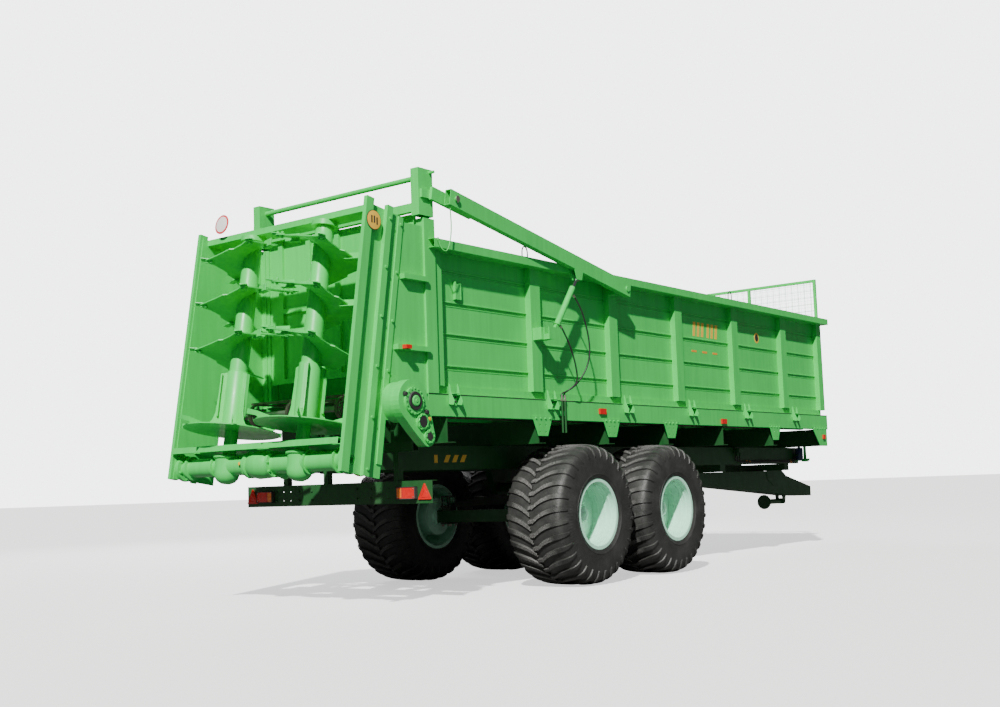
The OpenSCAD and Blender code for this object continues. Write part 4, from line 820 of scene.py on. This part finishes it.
def drum(phase):
    shaft = upright([(0.152, 0.0620), (0.372, 0.0620), (0.372, 0.150), (0.374, 0.424), (0.372, 0.440), (0.380, 0.440),
                     (0.384, 0.426), (DISC_TOP, 0.105), (0.392, 0.100), (0.924, 0.100), (0.930, 0.096), (0.930,
                                                                                                         0.0855),
                     (2.120, 0.0850), (2.126, 0.081), (2.192, 0.081), (2.192, 0.036), (0.152, 0.036)], 48)
    parts = [shaft]
    for k in range(3):
        turn = Matrix.Rotation(math.radians(k * 120 + 20), 4, "Z")
        wing = plate_piece(WING, 0.010)
        lip = box_piece((0.142, -0.004, 0.500), (0.156, 0.034, 0.900), 0.002)
        foot = box_piece((0.250, 0.000, DISC_TOP), (0.360, 0.040, 0.394), 0.002)
        for plate in (wing, lip, foot):
            plate.data.transform(turn)
            parts.append(plate)
    for k in range(6):
        blade = plate_piece([(0.150, DISC_TOP), (0.150, 0.404), (0.300, 0.412), (0.440, 0.440), (0.528, 0.446),
                             (0.528, 0.400),
                             (0.444, 0.396), (0.436, DISC_TOP)], 0.008)
        blade.data.transform(Matrix.Rotation(math.radians(k * 60 + phase), 4, "Z"))
        parts.append(blade)
    studs = [facing((0.118 * math.cos(a), 0.118 * math.sin(a), DISC_TOP), (0, 0, 1)) for a in
             (math.radians(k * 60 + 5) for k in range(6))]
    parts.append(copies(bolt_piece(across=0.026, tall=0.012, washer=0.018), studs))
    return join(parts)


left_drum = drum(50)
right_drum = drum(20)
left_drum.data.transform(left_beater)
right_drum.data.transform(right_beater)
right_drum.data.flip_normals()
settle(left_drum, "left_beater_drum", "left_beater", body_paint, outward=False)
settle(right_drum, "right_beater_drum", "right_beater", body_paint, outward=False)
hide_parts("left_beater_tube")
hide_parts("right_beater_tube")

# ---------------------------------------------------------------------------
# Gear tube: a round tube across the foot of the frame with a cast corner gear
# under each beater and one in the middle, flanged and bolted together.

TUBE_UP = 0.050
tube_parts = []
for sign in (1, -1):
    tube = turned([(0.150, 0.030), (0.150, 0.085), (0.960, 0.085), (0.966, 0.110), (0.984, 0.112), (0.984, 0.085),
                   (1.050, 0.085), (1.052, 0.120), (1.094, 0.122), (1.094, 0.030)], 40)
    tube.data.transform(Matrix.Translation((0, 0, TUBE_UP)) @ Matrix.Scale(sign, 4, (0, 1, 0)))
    corner_gear = upright([(-0.112, 0.002), (-0.108, 0.045), (-0.088, 0.082), (-0.060, 0.104), (-0.020, 0.114),
                           (0.060, 0.114),
                           (0.110, 0.120), (0.118, 0.138), (0.132, 0.140), (0.134, 0.116), (0.148, 0.104), (0.150,
                                                                                                            0.002)], 40)
    corner_gear.data.transform(Matrix.Translation((0, sign * BEATER_Y, 0)))
    rib = turned([(0.600, 0.080), (0.600, 0.104), (0.618, 0.106), (0.618, 0.080)], 40)
    rib.data.transform(Matrix.Translation((0, 0, TUBE_UP)) @ Matrix.Scale(sign, 4, (0, 1, 0)))
    ring = [facing((0.098 * math.cos(a), sign * 1.050, TUBE_UP + 0.098 * math.sin(a)), (0, -sign, 0)) for a in
            (math.radians(k * 60 + 30) for k in range(6))]
    tube_parts += [tube, corner_gear, rib, copies(bolt_piece(across=0.024), ring)]
gear_line = join(tube_parts)
gear_line.data.transform(leaning)
settle(gear_line, "corner_gear_tube", "trailer", body_paint)
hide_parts("gear_tube")
case = turned([(-0.170, 0.084), (-0.168, 0.116), (-0.140, 0.118), (-0.128, 0.100), (-0.090, 0.122), (0.030, 0.128),
               (0.100, 0.116), (0.132, 0.100), (0.140, 0.118), (0.168, 0.116), (0.170, 0.084)], 40)
case.data.transform(Matrix.Translation((0, 0, TUBE_UP)))
snout = turned([(0.050, 0.040), (0.050, 0.096), (0.180, 0.088), (0.250, 0.074), (0.256, 0.092), (0.274, 0.092),
                (0.276, 0.040)], 36)
snout.data.transform(Matrix.Translation((0, 0, TUBE_UP)) @ Matrix.Rotation(math.radians(-90), 4, "Z"))
case_bolts = []
for face in (-0.168, 0.168):
    case_bolts += [facing((0.104 * math.cos(a), face, TUBE_UP + 0.104 * math.sin(a)), (0, math.copysign(1, face),
                                                                                       0)) for a in
                   (math.radians(k * 45) for k in range(8))]
gear_case = join([case, snout, copies(bolt_piece(across=0.022), case_bolts)])
gear_case.data.transform(leaning)
settle(gear_case, "beater_gear_case", "trailer", body_paint)
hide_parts("gearbox")

# ---------------------------------------------------------------------------
# Splash pan: two folded strips between the frame's sides, over the gear tube and
# either side of the beater shafts, with a lip turned down at the rear.

pan = join([box_piece((-0.170, -1.094, 0.208), (-0.078, 1.094, 0.216), 0.002),
            box_piece((-0.176, -1.094, 0.160), (-0.168, 1.094, 0.216), 0.002),
            box_piece((0.078, -1.094, 0.208), (0.300, 1.094, 0.216), 0.002),
            box_piece((0.292, -1.094, 0.160), (0.300, 1.094, 0.216), 0.002)])
pan.data.transform(leaning)
settle(pan, "splash_pan", "trailer", body_paint)

# ---------------------------------------------------------------------------
# Front guard: 50 mm welded mesh behind its frame, and the rails' lifting loops
# of bent black bar.

guard_low, guard_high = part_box("front_guard")
mesh_x = (guard_low.x + guard_high.x) / 2 if hasattr(guard_low, "x") else (guard_low[0] + guard_high[0]) / 2
WIRE = 0.0034
for side, span in (("left", (0.022, 1.040)), ("right", (-1.040, -0.022))):
    columns = round((span[1] - span[0]) / 0.050)
    rows = round((3.873 - 3.350) / 0.050)
    sheet = fresh("grid", x_subdivisions=columns, y_subdivisions=rows, size=1)
    for corner in sheet.data.vertices:
        corner.co = (mesh_x, (span[0] + span[1]) / 2 + corner.co.x * (span[1] - span[0]),
                     3.6115 + corner.co.y * 0.523)
    wires = sheet.modifiers.new("wires", "WIREFRAME")
    wires.thickness = WIRE
    wires.use_boundary = True
    wires.use_even_offset = False
    bpy.ops.object.modifier_apply(modifier="wires")
    settle(sheet, side + "_guard_mesh", "trailer", body_paint, smooth=10)

loop_black = finish_coat("loop_black", (0.018, 0.018, 0.018), rough=0.4, worn=(0.25, 0.25, 0.24, 1), wear=0.5)
for place_name, s in (("rear", 1.48), ("front", 5.90)):
    for side, sign in (("left", 1), ("right", -1)):
        arch = [(-0.045, -0.004), (-0.045, 0.030), (-0.044, 0.070), (-0.036, 0.100), (-0.020, 0.118), (0, 0.124),
                (0.020, 0.118), (0.036, 0.100), (0.044, 0.070), (0.045, 0.030), (0.045, -0.004)]
        loop = line_curve(side + "_" + place_name + "_rail_loop",
                          smooth_route([at(s + x, sign * 1.120, 3.310 + z) for x, z in arch], 3), 0.0065, loop_black)
        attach(loop, "trailer")

# ---------------------------------------------------------------------------
# Post clamps: at each post's foot a folded plate with four bolts between the two
# pointed ears, where the body is bolted down to the side beam.

POST_XS = [0.115] + [1.660 + 1.455 * k for k in range(5)]
BEAM_OUT = 1.120
for side, sign in (("left", 1), ("right", -1)):
    parts = []
    spots = []
    for s in POST_XS:
        start = s + 0.105
        back = box_piece(at(start + 0.022, BEAM_OUT + 0.008, 1.790), at(start + 0.106, BEAM_OUT + 0.014, 1.905),
                         0.0015)
        fold = box_piece(at(start + 0.020, BEAM_OUT + 0.010, 1.893), at(start + 0.108, BEAM_OUT + 0.056, 1.901),
                         0.0015)
        parts += [back, fold]
        for edge in (start, start + 0.120):
            ear = plate_piece([(0.0, 1.800), (0.058, 1.790), (0.066, 1.830), (0.030, 1.905), (0.022, 1.955),
                               (0.010, 1.990),
                               (0.0, 1.990)], 0.007)
            ear.data.transform(Matrix.Translation(at(edge + 0.004, BEAM_OUT + 0.004,
                                                     0)) @ Matrix.Rotation(math.radians(90), 4, "Z"))
            parts.append(ear)
        spots += [facing(at(start + 0.064 + dx, BEAM_OUT + 0.014, z), (0, 1, 0)) for dx in (-0.020, 0.020)
                  for z in (1.825, 1.865)]
    heads = copies(bolt_piece(across=0.017, tall=0.008, washer=0.011), spots)
    clamps = join(parts)
    clamps.data.transform(Matrix.Scale(sign, 4, (0, 1, 0)))
    settle(clamps, side + "_post_clamps", "trailer", body_paint)
    heads.data.transform(Matrix.Scale(sign, 4, (0, 1, 0)))
    settle(heads, side + "_post_clamp_bolts", "trailer", seal_black)
    holes = [at(x + dx, sign * (BEAM_OUT + 0.008), 1.700) for x in (1.675, 2.960, 4.237, 7.020) for dx in (-0.12,
                                                                                                           -0.04, 0.04, 0.12)]
    holes += [at(8.30 + 0.09 * k, sign * (BEAM_OUT + 0.008), 1.700) for k in range(5)]
    bolts(side + "_gusset_bolts", holes, (0, sign, 0), "trailer", body_paint, "body_green", across=0.020,
          tall=0.009, washer=0.014)

# ---------------------------------------------------------------------------
# Signs and marks: enamelled discs on the beater frame, and plain printed film on
# the walls and chassis, with no lettering.

sign_white = finish_coat("sign_white", (0.85, 0.85, 0.83), rough=0.3, wear=0.1, dust=0.1, drift=0.04)
sign_red = finish_coat("sign_red", (0.70, 0.02, 0.03), rough=0.3, wear=0.1, dust=0.1, drift=0.05)
sign_yellow = finish_coat("sign_yellow", (0.85, 0.52, 0.06), rough=0.35, wear=0.1, dust=0.1, drift=0.06)
film_orange = finish_coat("film_orange", (0.80, 0.30, 0.04), rough=0.35, wear=0.1, dust=0.1, drift=0.06)


def disc_piece(place, normal, radius, thick):
    disc = fresh("cylinder", vertices=48, radius=radius, depth=thick)
    pick(disc, lambda face: face.normal.z > 0.9)
    bpy.ops.mesh.inset(thickness=radius * 0.04, depth=thick * 0.2)
    done()
    disc.data.transform(facing(Vector(place) + Vector(normal).normalized() * thick / 2, normal))
    return disc


back = (-math.cos(LEAN), 0, math.sin(LEAN))
speed_at = at(-0.760, 0.840, 3.640)
settle(disc_piece(speed_at, back, 0.096, 0.004), "rear_disc_rim", "trailer", sign_red)
settle(disc_piece(speed_at + Vector(back) * 0.003, back, 0.078, 0.003), "rear_disc_face", "trailer", sign_white)
yellow_at = at(-0.735, -1.146, 3.370)
settle(disc_piece(yellow_at, (0, -1, 0), 0.088, 0.004), "side_disc_rim", "trailer", seal_black)
settle(disc_piece(yellow_at + Vector((0, -0.003, 0)), (0, -1, 0), 0.082, 0.003), "side_disc_face", "trailer",
       sign_yellow)
dial = [box_piece(yellow_at + Vector((x - 0.008, -0.009, z - 0.032)),
                  yellow_at + Vector((x + 0.008, -0.004, z + 0.032)), 0.001)
        for x, z in ((-0.030, 0.006), (0.002, 0.006), (0.034, -0.006))]
settle(join(dial), "side_disc_bars", "trailer", seal_black)
WALL = 1.0305
for side, sign in (("left", 1), ("right", -1)):
    bars = []
    for k in range(6):
        slant = plate_piece([(0, 0), (0.060, 0), (0.085, 0.180), (0.025, 0.180)], 0.0015, 0)
        slant.data.transform(Matrix.Translation(at(5.030 + 0.105 * k + (0.04 if k > 2 else 0), sign * WALL, 2.800)))
        bars.append(slant)
    settle(join(bars), side + "_wall_bars", "trailer", sign_yellow)
    tabs = [box_piece(at(4.985 + 0.270 * k, sign * WALL - 0.001, 2.600), at(5.110 + 0.270 * k,
                                                                            sign * WALL + 0.001, 2.625), 0)
            for k in range(3)]
    settle(join(tabs), side + "_wall_tabs", "trailer", film_orange)
    emblem = disc_piece(at(6.790, sign * (WALL - 0.001), 2.900), (0, sign, 0), 0.070, 0.002)
    settle(emblem, side + "_wall_emblem", "trailer", sign_yellow)
    inner = disc_piece(at(6.790, sign * (WALL + 0.001), 2.900), (0, sign, 0), 0.048, 0.001)
    settle(inner, side + "_wall_emblem_centre", "trailer", seal_black)
    stripes = []
    for k in range(3):
        stripe = plate_piece([(0, 0), (0.065, 0), (0.110, 0.072), (0.045, 0.072)], 0.0015, 0)
        stripe.data.transform(Matrix.Translation(at(0.840 + 0.125 * k, sign * 0.5110, 1.288)))
        stripes.append(stripe)
    stripes.append(box_piece(at(0.700, sign * 0.5110 - 0.0008, 1.284), at(0.750, sign * 0.5110 + 0.0008, 1.362), 0))
    settle(join(stripes), side + "_hazard_bars", "trailer", sign_yellow)


# ---------------------------------------------------------------------------
# Wall lips and beam strip: each wall sheet laps the one below in a rolled lip, and a
# thin black strip on the top edge of the side beam is painted shadow, for the gap under the sheets.

for side, sign in (("left", 1), ("right", -1)):
    lips = []
    for k in range(4):
        top = 3.065 - 0.300 * k
        lip = box_piece(at(0.092, 1.026, top - 0.004), at(8.770, 1.040, top + 0.010), 0.003)
        low_lip = box_piece(at(0.092, 1.026, top - 0.040), at(8.770, 1.034, top - 0.030), 0.002)
        lips += [lip, low_lip]
    lips = join(lips)
    lips.data.transform(Matrix.Scale(sign, 4, (0, 1, 0)))
    settle(lips, side + "_wall_lips", "trailer", body_paint)
    # Painted shadow: a black strip where the gap under the wall sheets falls dark.
    seal = box_piece(at(-0.050, sign * 1.1185 - 0.0025, 1.884), at(8.775, sign * 1.1185 + 0.0025, 1.8955), 0.001)
    settle(seal, side + "_beam_shadow_strip", "trailer", seal_black)
    pocket = join([box_piece(at(0.440, sign * 1.034 - 0.003, 2.960), at(0.560, sign * 1.034 + 0.003, 2.972), 0.001),
                   box_piece(at(0.440, sign * 1.050 - 0.018, 2.800), at(0.446, sign * 1.050 + 0.018, 2.970), 0.001),
                   box_piece(at(0.440, sign * 1.062 - 0.003, 2.800), at(0.520, sign * 1.062 + 0.003, 2.950), 0.001),
                   box_piece(at(0.514, sign * 1.050 - 0.018, 2.800), at(0.520, sign * 1.050 + 0.018, 2.960), 0.001)])
    settle(pocket, side + "_chock_pocket", "trailer", body_paint)

# ---------------------------------------------------------------------------
# Lift gear trim: crimped steel hose ends, a pin keeper at each arm's tip, and the
# sprayed-over level cable looped below the tip, with its end fittings.

for side, sign in (("left", 1), ("right", -1)):
    body = side + "_barrel"
    ferrules = []
    for label, corners in (("low", HOSE_LOW), ("high", HOSE_HIGH)):
        route = [at(q[0] / 1000, sign * q[1] / 1000, q[2] / 1000) for q in smooth_route(corners)]
        start, end = route[0], route[-1]
        way = (route[1] - route[0]).normalized()
        ferrules.append(rod_piece(start + way * 0.001, start + way * 0.040, 0.0125, 12, 0.002))
        ferrules.append(rod_piece(start - way * 0.002, start + way * 0.014, 0.0155, 6, 0.001))
        ferrules.append(rod_piece(end + Vector((0, 0, 0.004)), end + Vector((0, 0, 0.048)), 0.0125, 12, 0.002))
        ferrules.append(rod_piece(end + Vector((0, 0, -0.014)), end + Vector((0, 0, 0.006)), 0.0165, 6, 0.001))
    settle(join(ferrules), side + "_hose_ends", "trailer", plated_steel)

CABLE = 0.011
CABLE_OUT = 1.250
# The loop's foot turns in to the rail over its last stretch
FOOT_START, FOOT_RUN, FOOT_IN, FOOT_TOP = 0.1, 0.07, 0.030, 3.30
cable_paint = finish_coat("cable_paint", (0.06, 0.55, 0.10), rough=0.4, wear=0.1, dust=0.1)
for side, sign in (("left", 1), ("right", -1)):
    sag = [(0.186, 3.640), (0.178, 3.600), (0.180, 3.540), (0.184, 3.470), (0.182, 3.400), (0.172, 3.330), (0.152,
                                                                                                            3.262),
           (0.126, 3.212), (0.098, 3.190), (0.068, 3.204), (0.044, 3.246), (0.030, 3.296)]
    drop = [(s, CABLE_OUT if z > FOOT_TOP or s > FOOT_START else CABLE_OUT - FOOT_IN * (FOOT_START - s) / FOOT_RUN, z)
            for s, z in sag]
    route = smooth_route([at(s, sign * y, z) for s, y, z in drop], 4)
    cable = line_curve(side + "_level_cable", route, CABLE / 2, cable_paint)
    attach(cable, side + "_arm")
    anchor = join([rod_piece(at(0.186, sign * 1.250, 3.618), at(0.186, sign * 1.250, 3.652), 0.012, 12, 0.002),
                   rod_piece(at(0.030, sign * 1.220, 3.286), at(0.026, sign * 1.220, 3.312), 0.009, 12, 0.002)])
    settle(anchor, side + "_cable_ends", side + "_arm", cable_paint)
    pin_head = join([rod_piece(at(0.235, sign * 1.296, 3.690), at(0.235, sign * 1.302, 3.690), 0.030, 20, 0.002),
                     rod_piece(at(0.235, sign * 1.298, 3.655), at(0.235, sign * 1.298, 3.725), 0.004, 8, 0.001)])
    settle(pin_head, side + "_tip_pin_keeper", side + "_arm", plated_steel)

# ---------------------------------------------------------------------------
# Lamp trim: black backing boards with rolled edges, chrome screws, and a lens
# split into brake, turn and tail fields.

lamp_orange = lamp_red.copy()
lamp_orange.name = "lamp_orange"
for link_node in lamp_orange.node_tree.nodes:
    if link_node.bl_idname == "ShaderNodeMix":
        link_node.inputs[6].default_value = (0.60, 0.10, 0.01, 1)
        link_node.inputs[7].default_value = (0.85, 0.20, 0.02, 1)
for side, sign in (("left", 1), ("right", -1)):
    frame_bars = [box_piece(at(-0.204, sign * 0.940 - 0.114, z - 0.004), at(-0.162, sign * 0.940 + 0.114,
                                                                            z + 0.004), 0.002)
                  for z in (0.953, 1.057)]
    frame_bars += [box_piece(at(-0.204, sign * y - 0.004, 0.949), at(-0.162, sign * y + 0.004, 1.061), 0.002)
                   for y in (0.830, 1.050)]
    frame_bars.append(box_piece(at(-0.2015, sign * 0.900 - 0.002, 0.953), at(-0.196, sign * 0.900 + 0.002, 1.057),
                                0.0008))
    settle(join(frame_bars), side + "_lamp_rim", "trailer", seal_black)
    edge = []
    corners = [(1.070, 0.947), (1.216, 0.947), (1.143, 1.085)]
    for a, b in zip(corners, corners[1:] + corners[:1]):
        edge.append(rod_piece(at(-0.172, sign * a[0], a[1]), at(-0.172, sign * b[0], b[1]), 0.004, 8))
    inner = [(1.104, 0.966), (1.182, 0.966), (1.143, 1.040)]
    for a, b in zip(inner, inner[1:] + inner[:1]):
        edge.append(rod_piece(at(-0.1725, sign * a[0], a[1]), at(-0.1725, sign * b[0], b[1]), 0.003, 8))
    # The reflector rims share the lamp lens material and glow faintly with it: a painted glow, not a lamp.
    settle(join(edge), side + "_reflector_rim", "trailer", lamp_red)
    turn_field = box_piece(at(-0.2035, sign * 0.864 - 0.028, 0.962), at(-0.1990, sign * 0.864 + 0.028, 1.048), 0.002)
    settle(turn_field, side + "_turn_field", "trailer", lamp_orange)
    bolts(side + "_lamp_screws", [at(-0.2015, sign * y, z) for y in (0.848, 1.034) for z in (0.968, 1.042)], (-1,
                                                                                                              0, 0),
          "trailer", plated_steel, "bare_steel", across=0.010, tall=0.004, washer=0.007)
bar_bolts = [at(-0.160, y, z) for y in (-0.800, -0.480, -0.300, 0.300, 0.480, 0.800) for z in (0.965, 1.050)]
bolts("light_bar_bolts", bar_bolts, (-1, 0, 0), "trailer", chassis_shade_paint, "chassis_green", across=0.020,
      tall=0.010, washer=0.014)

# ---------------------------------------------------------------------------
# Driveline guard: a yellow moulded cone over the shaft's rear joint behind the
# gear case, and yellow tube shields between the bearings.

guard_yellow = finish_coat("guard_yellow", (0.70, 0.38, 0.02), rough=0.5, worn=(0.4, 0.3, 0.1, 1), wear=0.2, dust=0.4)
LINE_Z = 1.335
cone = turned([(0.180, 0.046), (0.180, 0.150), (0.192, 0.160), (0.200, 0.160), (0.204, 0.152), (0.300, 0.110),
               (0.460, 0.078),
               (0.468, 0.060), (0.468, 0.046)], 40)
cone.data.transform(Matrix.Translation(at(0, 0, LINE_Z)) @ Matrix.Rotation(math.radians(-90), 4, "Z"))
settle(cone, "joint_guard", "trailer", guard_yellow)
shields = []
for start, end in ((0.520, 2.880), (3.050, 5.520), (5.690, 8.480)):
    tube = turned([(start, 0.040), (start, 0.050), (start + 0.020, 0.058), (start + 0.060, 0.052), (end - 0.060,
                                                                                                    0.052),
                   (end - 0.020, 0.058), (end, 0.050), (end, 0.040)], 28)
    tube.data.transform(Matrix.Translation(at(0, 0, LINE_Z)) @ Matrix.Rotation(math.radians(-90), 4, "Z"))
    shields.append(tube)
settle(join(shields), "shaft_shields", "trailer", guard_yellow)

# ---------------------------------------------------------------------------
# Front services on the chassis: brake valve and pump canister, rubber hoses with
# orange sleeves, and a T-foot parking stand hung from the front of the beam.

canister_blue = finish_coat("canister_blue", (0.012, 0.035, 0.10), rough=0.35, worn=(0.2, 0.2, 0.2, 1), dust=0.3)
sleeve_orange = finish_coat("sleeve_orange", (0.75, 0.28, 0.03), rough=0.5, wear=0.1, dust=0.3)
can = upright([(1.262, 0.002), (1.262, 0.040), (1.272, 0.052), (1.300, 0.056), (1.420, 0.056), (1.446, 0.048),
               (1.450, 0.020),
               (1.462, 0.018), (1.462, 0.002)], 32)
can.data.transform(Matrix.Translation(at(8.920, -0.590, 0)))
settle(can, "pump_canister", "trailer", canister_blue)
strap = box_piece(at(8.860, -0.600, 1.330), at(8.980, -0.505, 1.350), 0.003)
settle(strap, "canister_strap", "trailer", chassis_shade_paint)
valve_block = join([box_piece(at(6.960, -0.600, 1.380), at(7.100, -0.508, 1.440), 0.006),
                    rod_piece(at(6.990, -0.555, 1.330), at(6.990, -0.555, 1.385), 0.020, 14, 0.004),
                    rod_piece(at(7.065, -0.555, 1.330), at(7.065, -0.555, 1.385), 0.020, 14, 0.004)])
settle(valve_block, "brake_valve", "trailer", chassis_shade_paint)
for k in range(3):
    run = [(7.000 + 0.030 * k, 1.340), (7.000 + 0.028 * k, 1.290), (7.050 + 0.030 * k, 1.262 - 0.010 * k),
           (7.400, 1.262 - 0.012 * k), (8.000, 1.268 - 0.012 * k), (8.600, 1.262 - 0.012 * k), (8.850,
                                                                                                1.280 - 0.012 * k),
           (8.980, 1.330 - 0.012 * k), (9.030, 1.380)]
    pipe = line_curve("service_pipe_%d" % (k + 1), smooth_route([at(s, -0.520 - 0.018 * k, z) for s, z in run],
                                                                5), 0.007, hose_rubber)
    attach(pipe, "trailer")
sleeves = []
for k, s in enumerate((7.30, 7.36, 8.66, 8.72)):
    drop = 0.012 * (k % 3)
    sleeves.append(rod_piece(at(s, -0.520 - 0.018 * (k % 3), 1.262 - drop), at(s + 0.05, -0.520 - 0.018 * (k % 3),
                                                                               1.262 - drop), 0.011, 12, 0.002))
settle(join(sleeves), "hose_sleeves", "trailer", sleeve_orange)
stand = join([box_piece(at(8.935, -0.700, 1.250), at(9.045, -0.505, 1.285), 0.004),
              rod_piece(at(9.010, -0.640, 1.270), at(9.010, -0.640, 1.560), 0.022, 16, 0.003),
              box_piece(at(8.950, -0.700, 1.556), at(9.070, -0.580, 1.566), 0.003),
              box_piece(at(8.940, -0.665, 1.236), at(9.080, -0.615, 1.252), 0.003)])
settle(stand, "hose_stand", "trailer", body_paint)

# ---------------------------------------------------------------------------
# Bogie trim: U-bolts with their plates clamping the springs on each axle,
# and the U-bolts' nuts.

clips = []
for sign in (1, -1):
    for axle in AXLES:
        for ds in (-0.048, 0.048):
            for y in (0.520, 0.630):
                clips.append(rod_piece(at(axle + ds, sign * y, 0.630), at(axle + ds, sign * y, 0.945), 0.009, 10,
                                       0.002))
            clips.append(rod_piece(at(axle + ds, sign * 0.514, 0.938), at(axle + ds, sign * 0.636, 0.938), 0.009,
                                   10, 0.002))
        clips.append(box_piece(at(axle - 0.072, sign * 0.575 - 0.070, 0.632), at(axle + 0.072,
                                                                                 sign * 0.575 + 0.070, 0.652), 0.004))
settle(join(clips), "spring_clips", "bogie", spring_paint)
nuts = []
for sign in (1, -1):
    nuts += [at(axle + ds, sign * y, 0.632) for axle in AXLES for ds in (-0.048, 0.048) for y in (0.520, 0.630)]
bolts("spring_clip_nuts", nuts, (0, 0, -1), "bogie", plated_steel, "bare_steel", across=0.030, tall=0.020,
      washer=0.018)
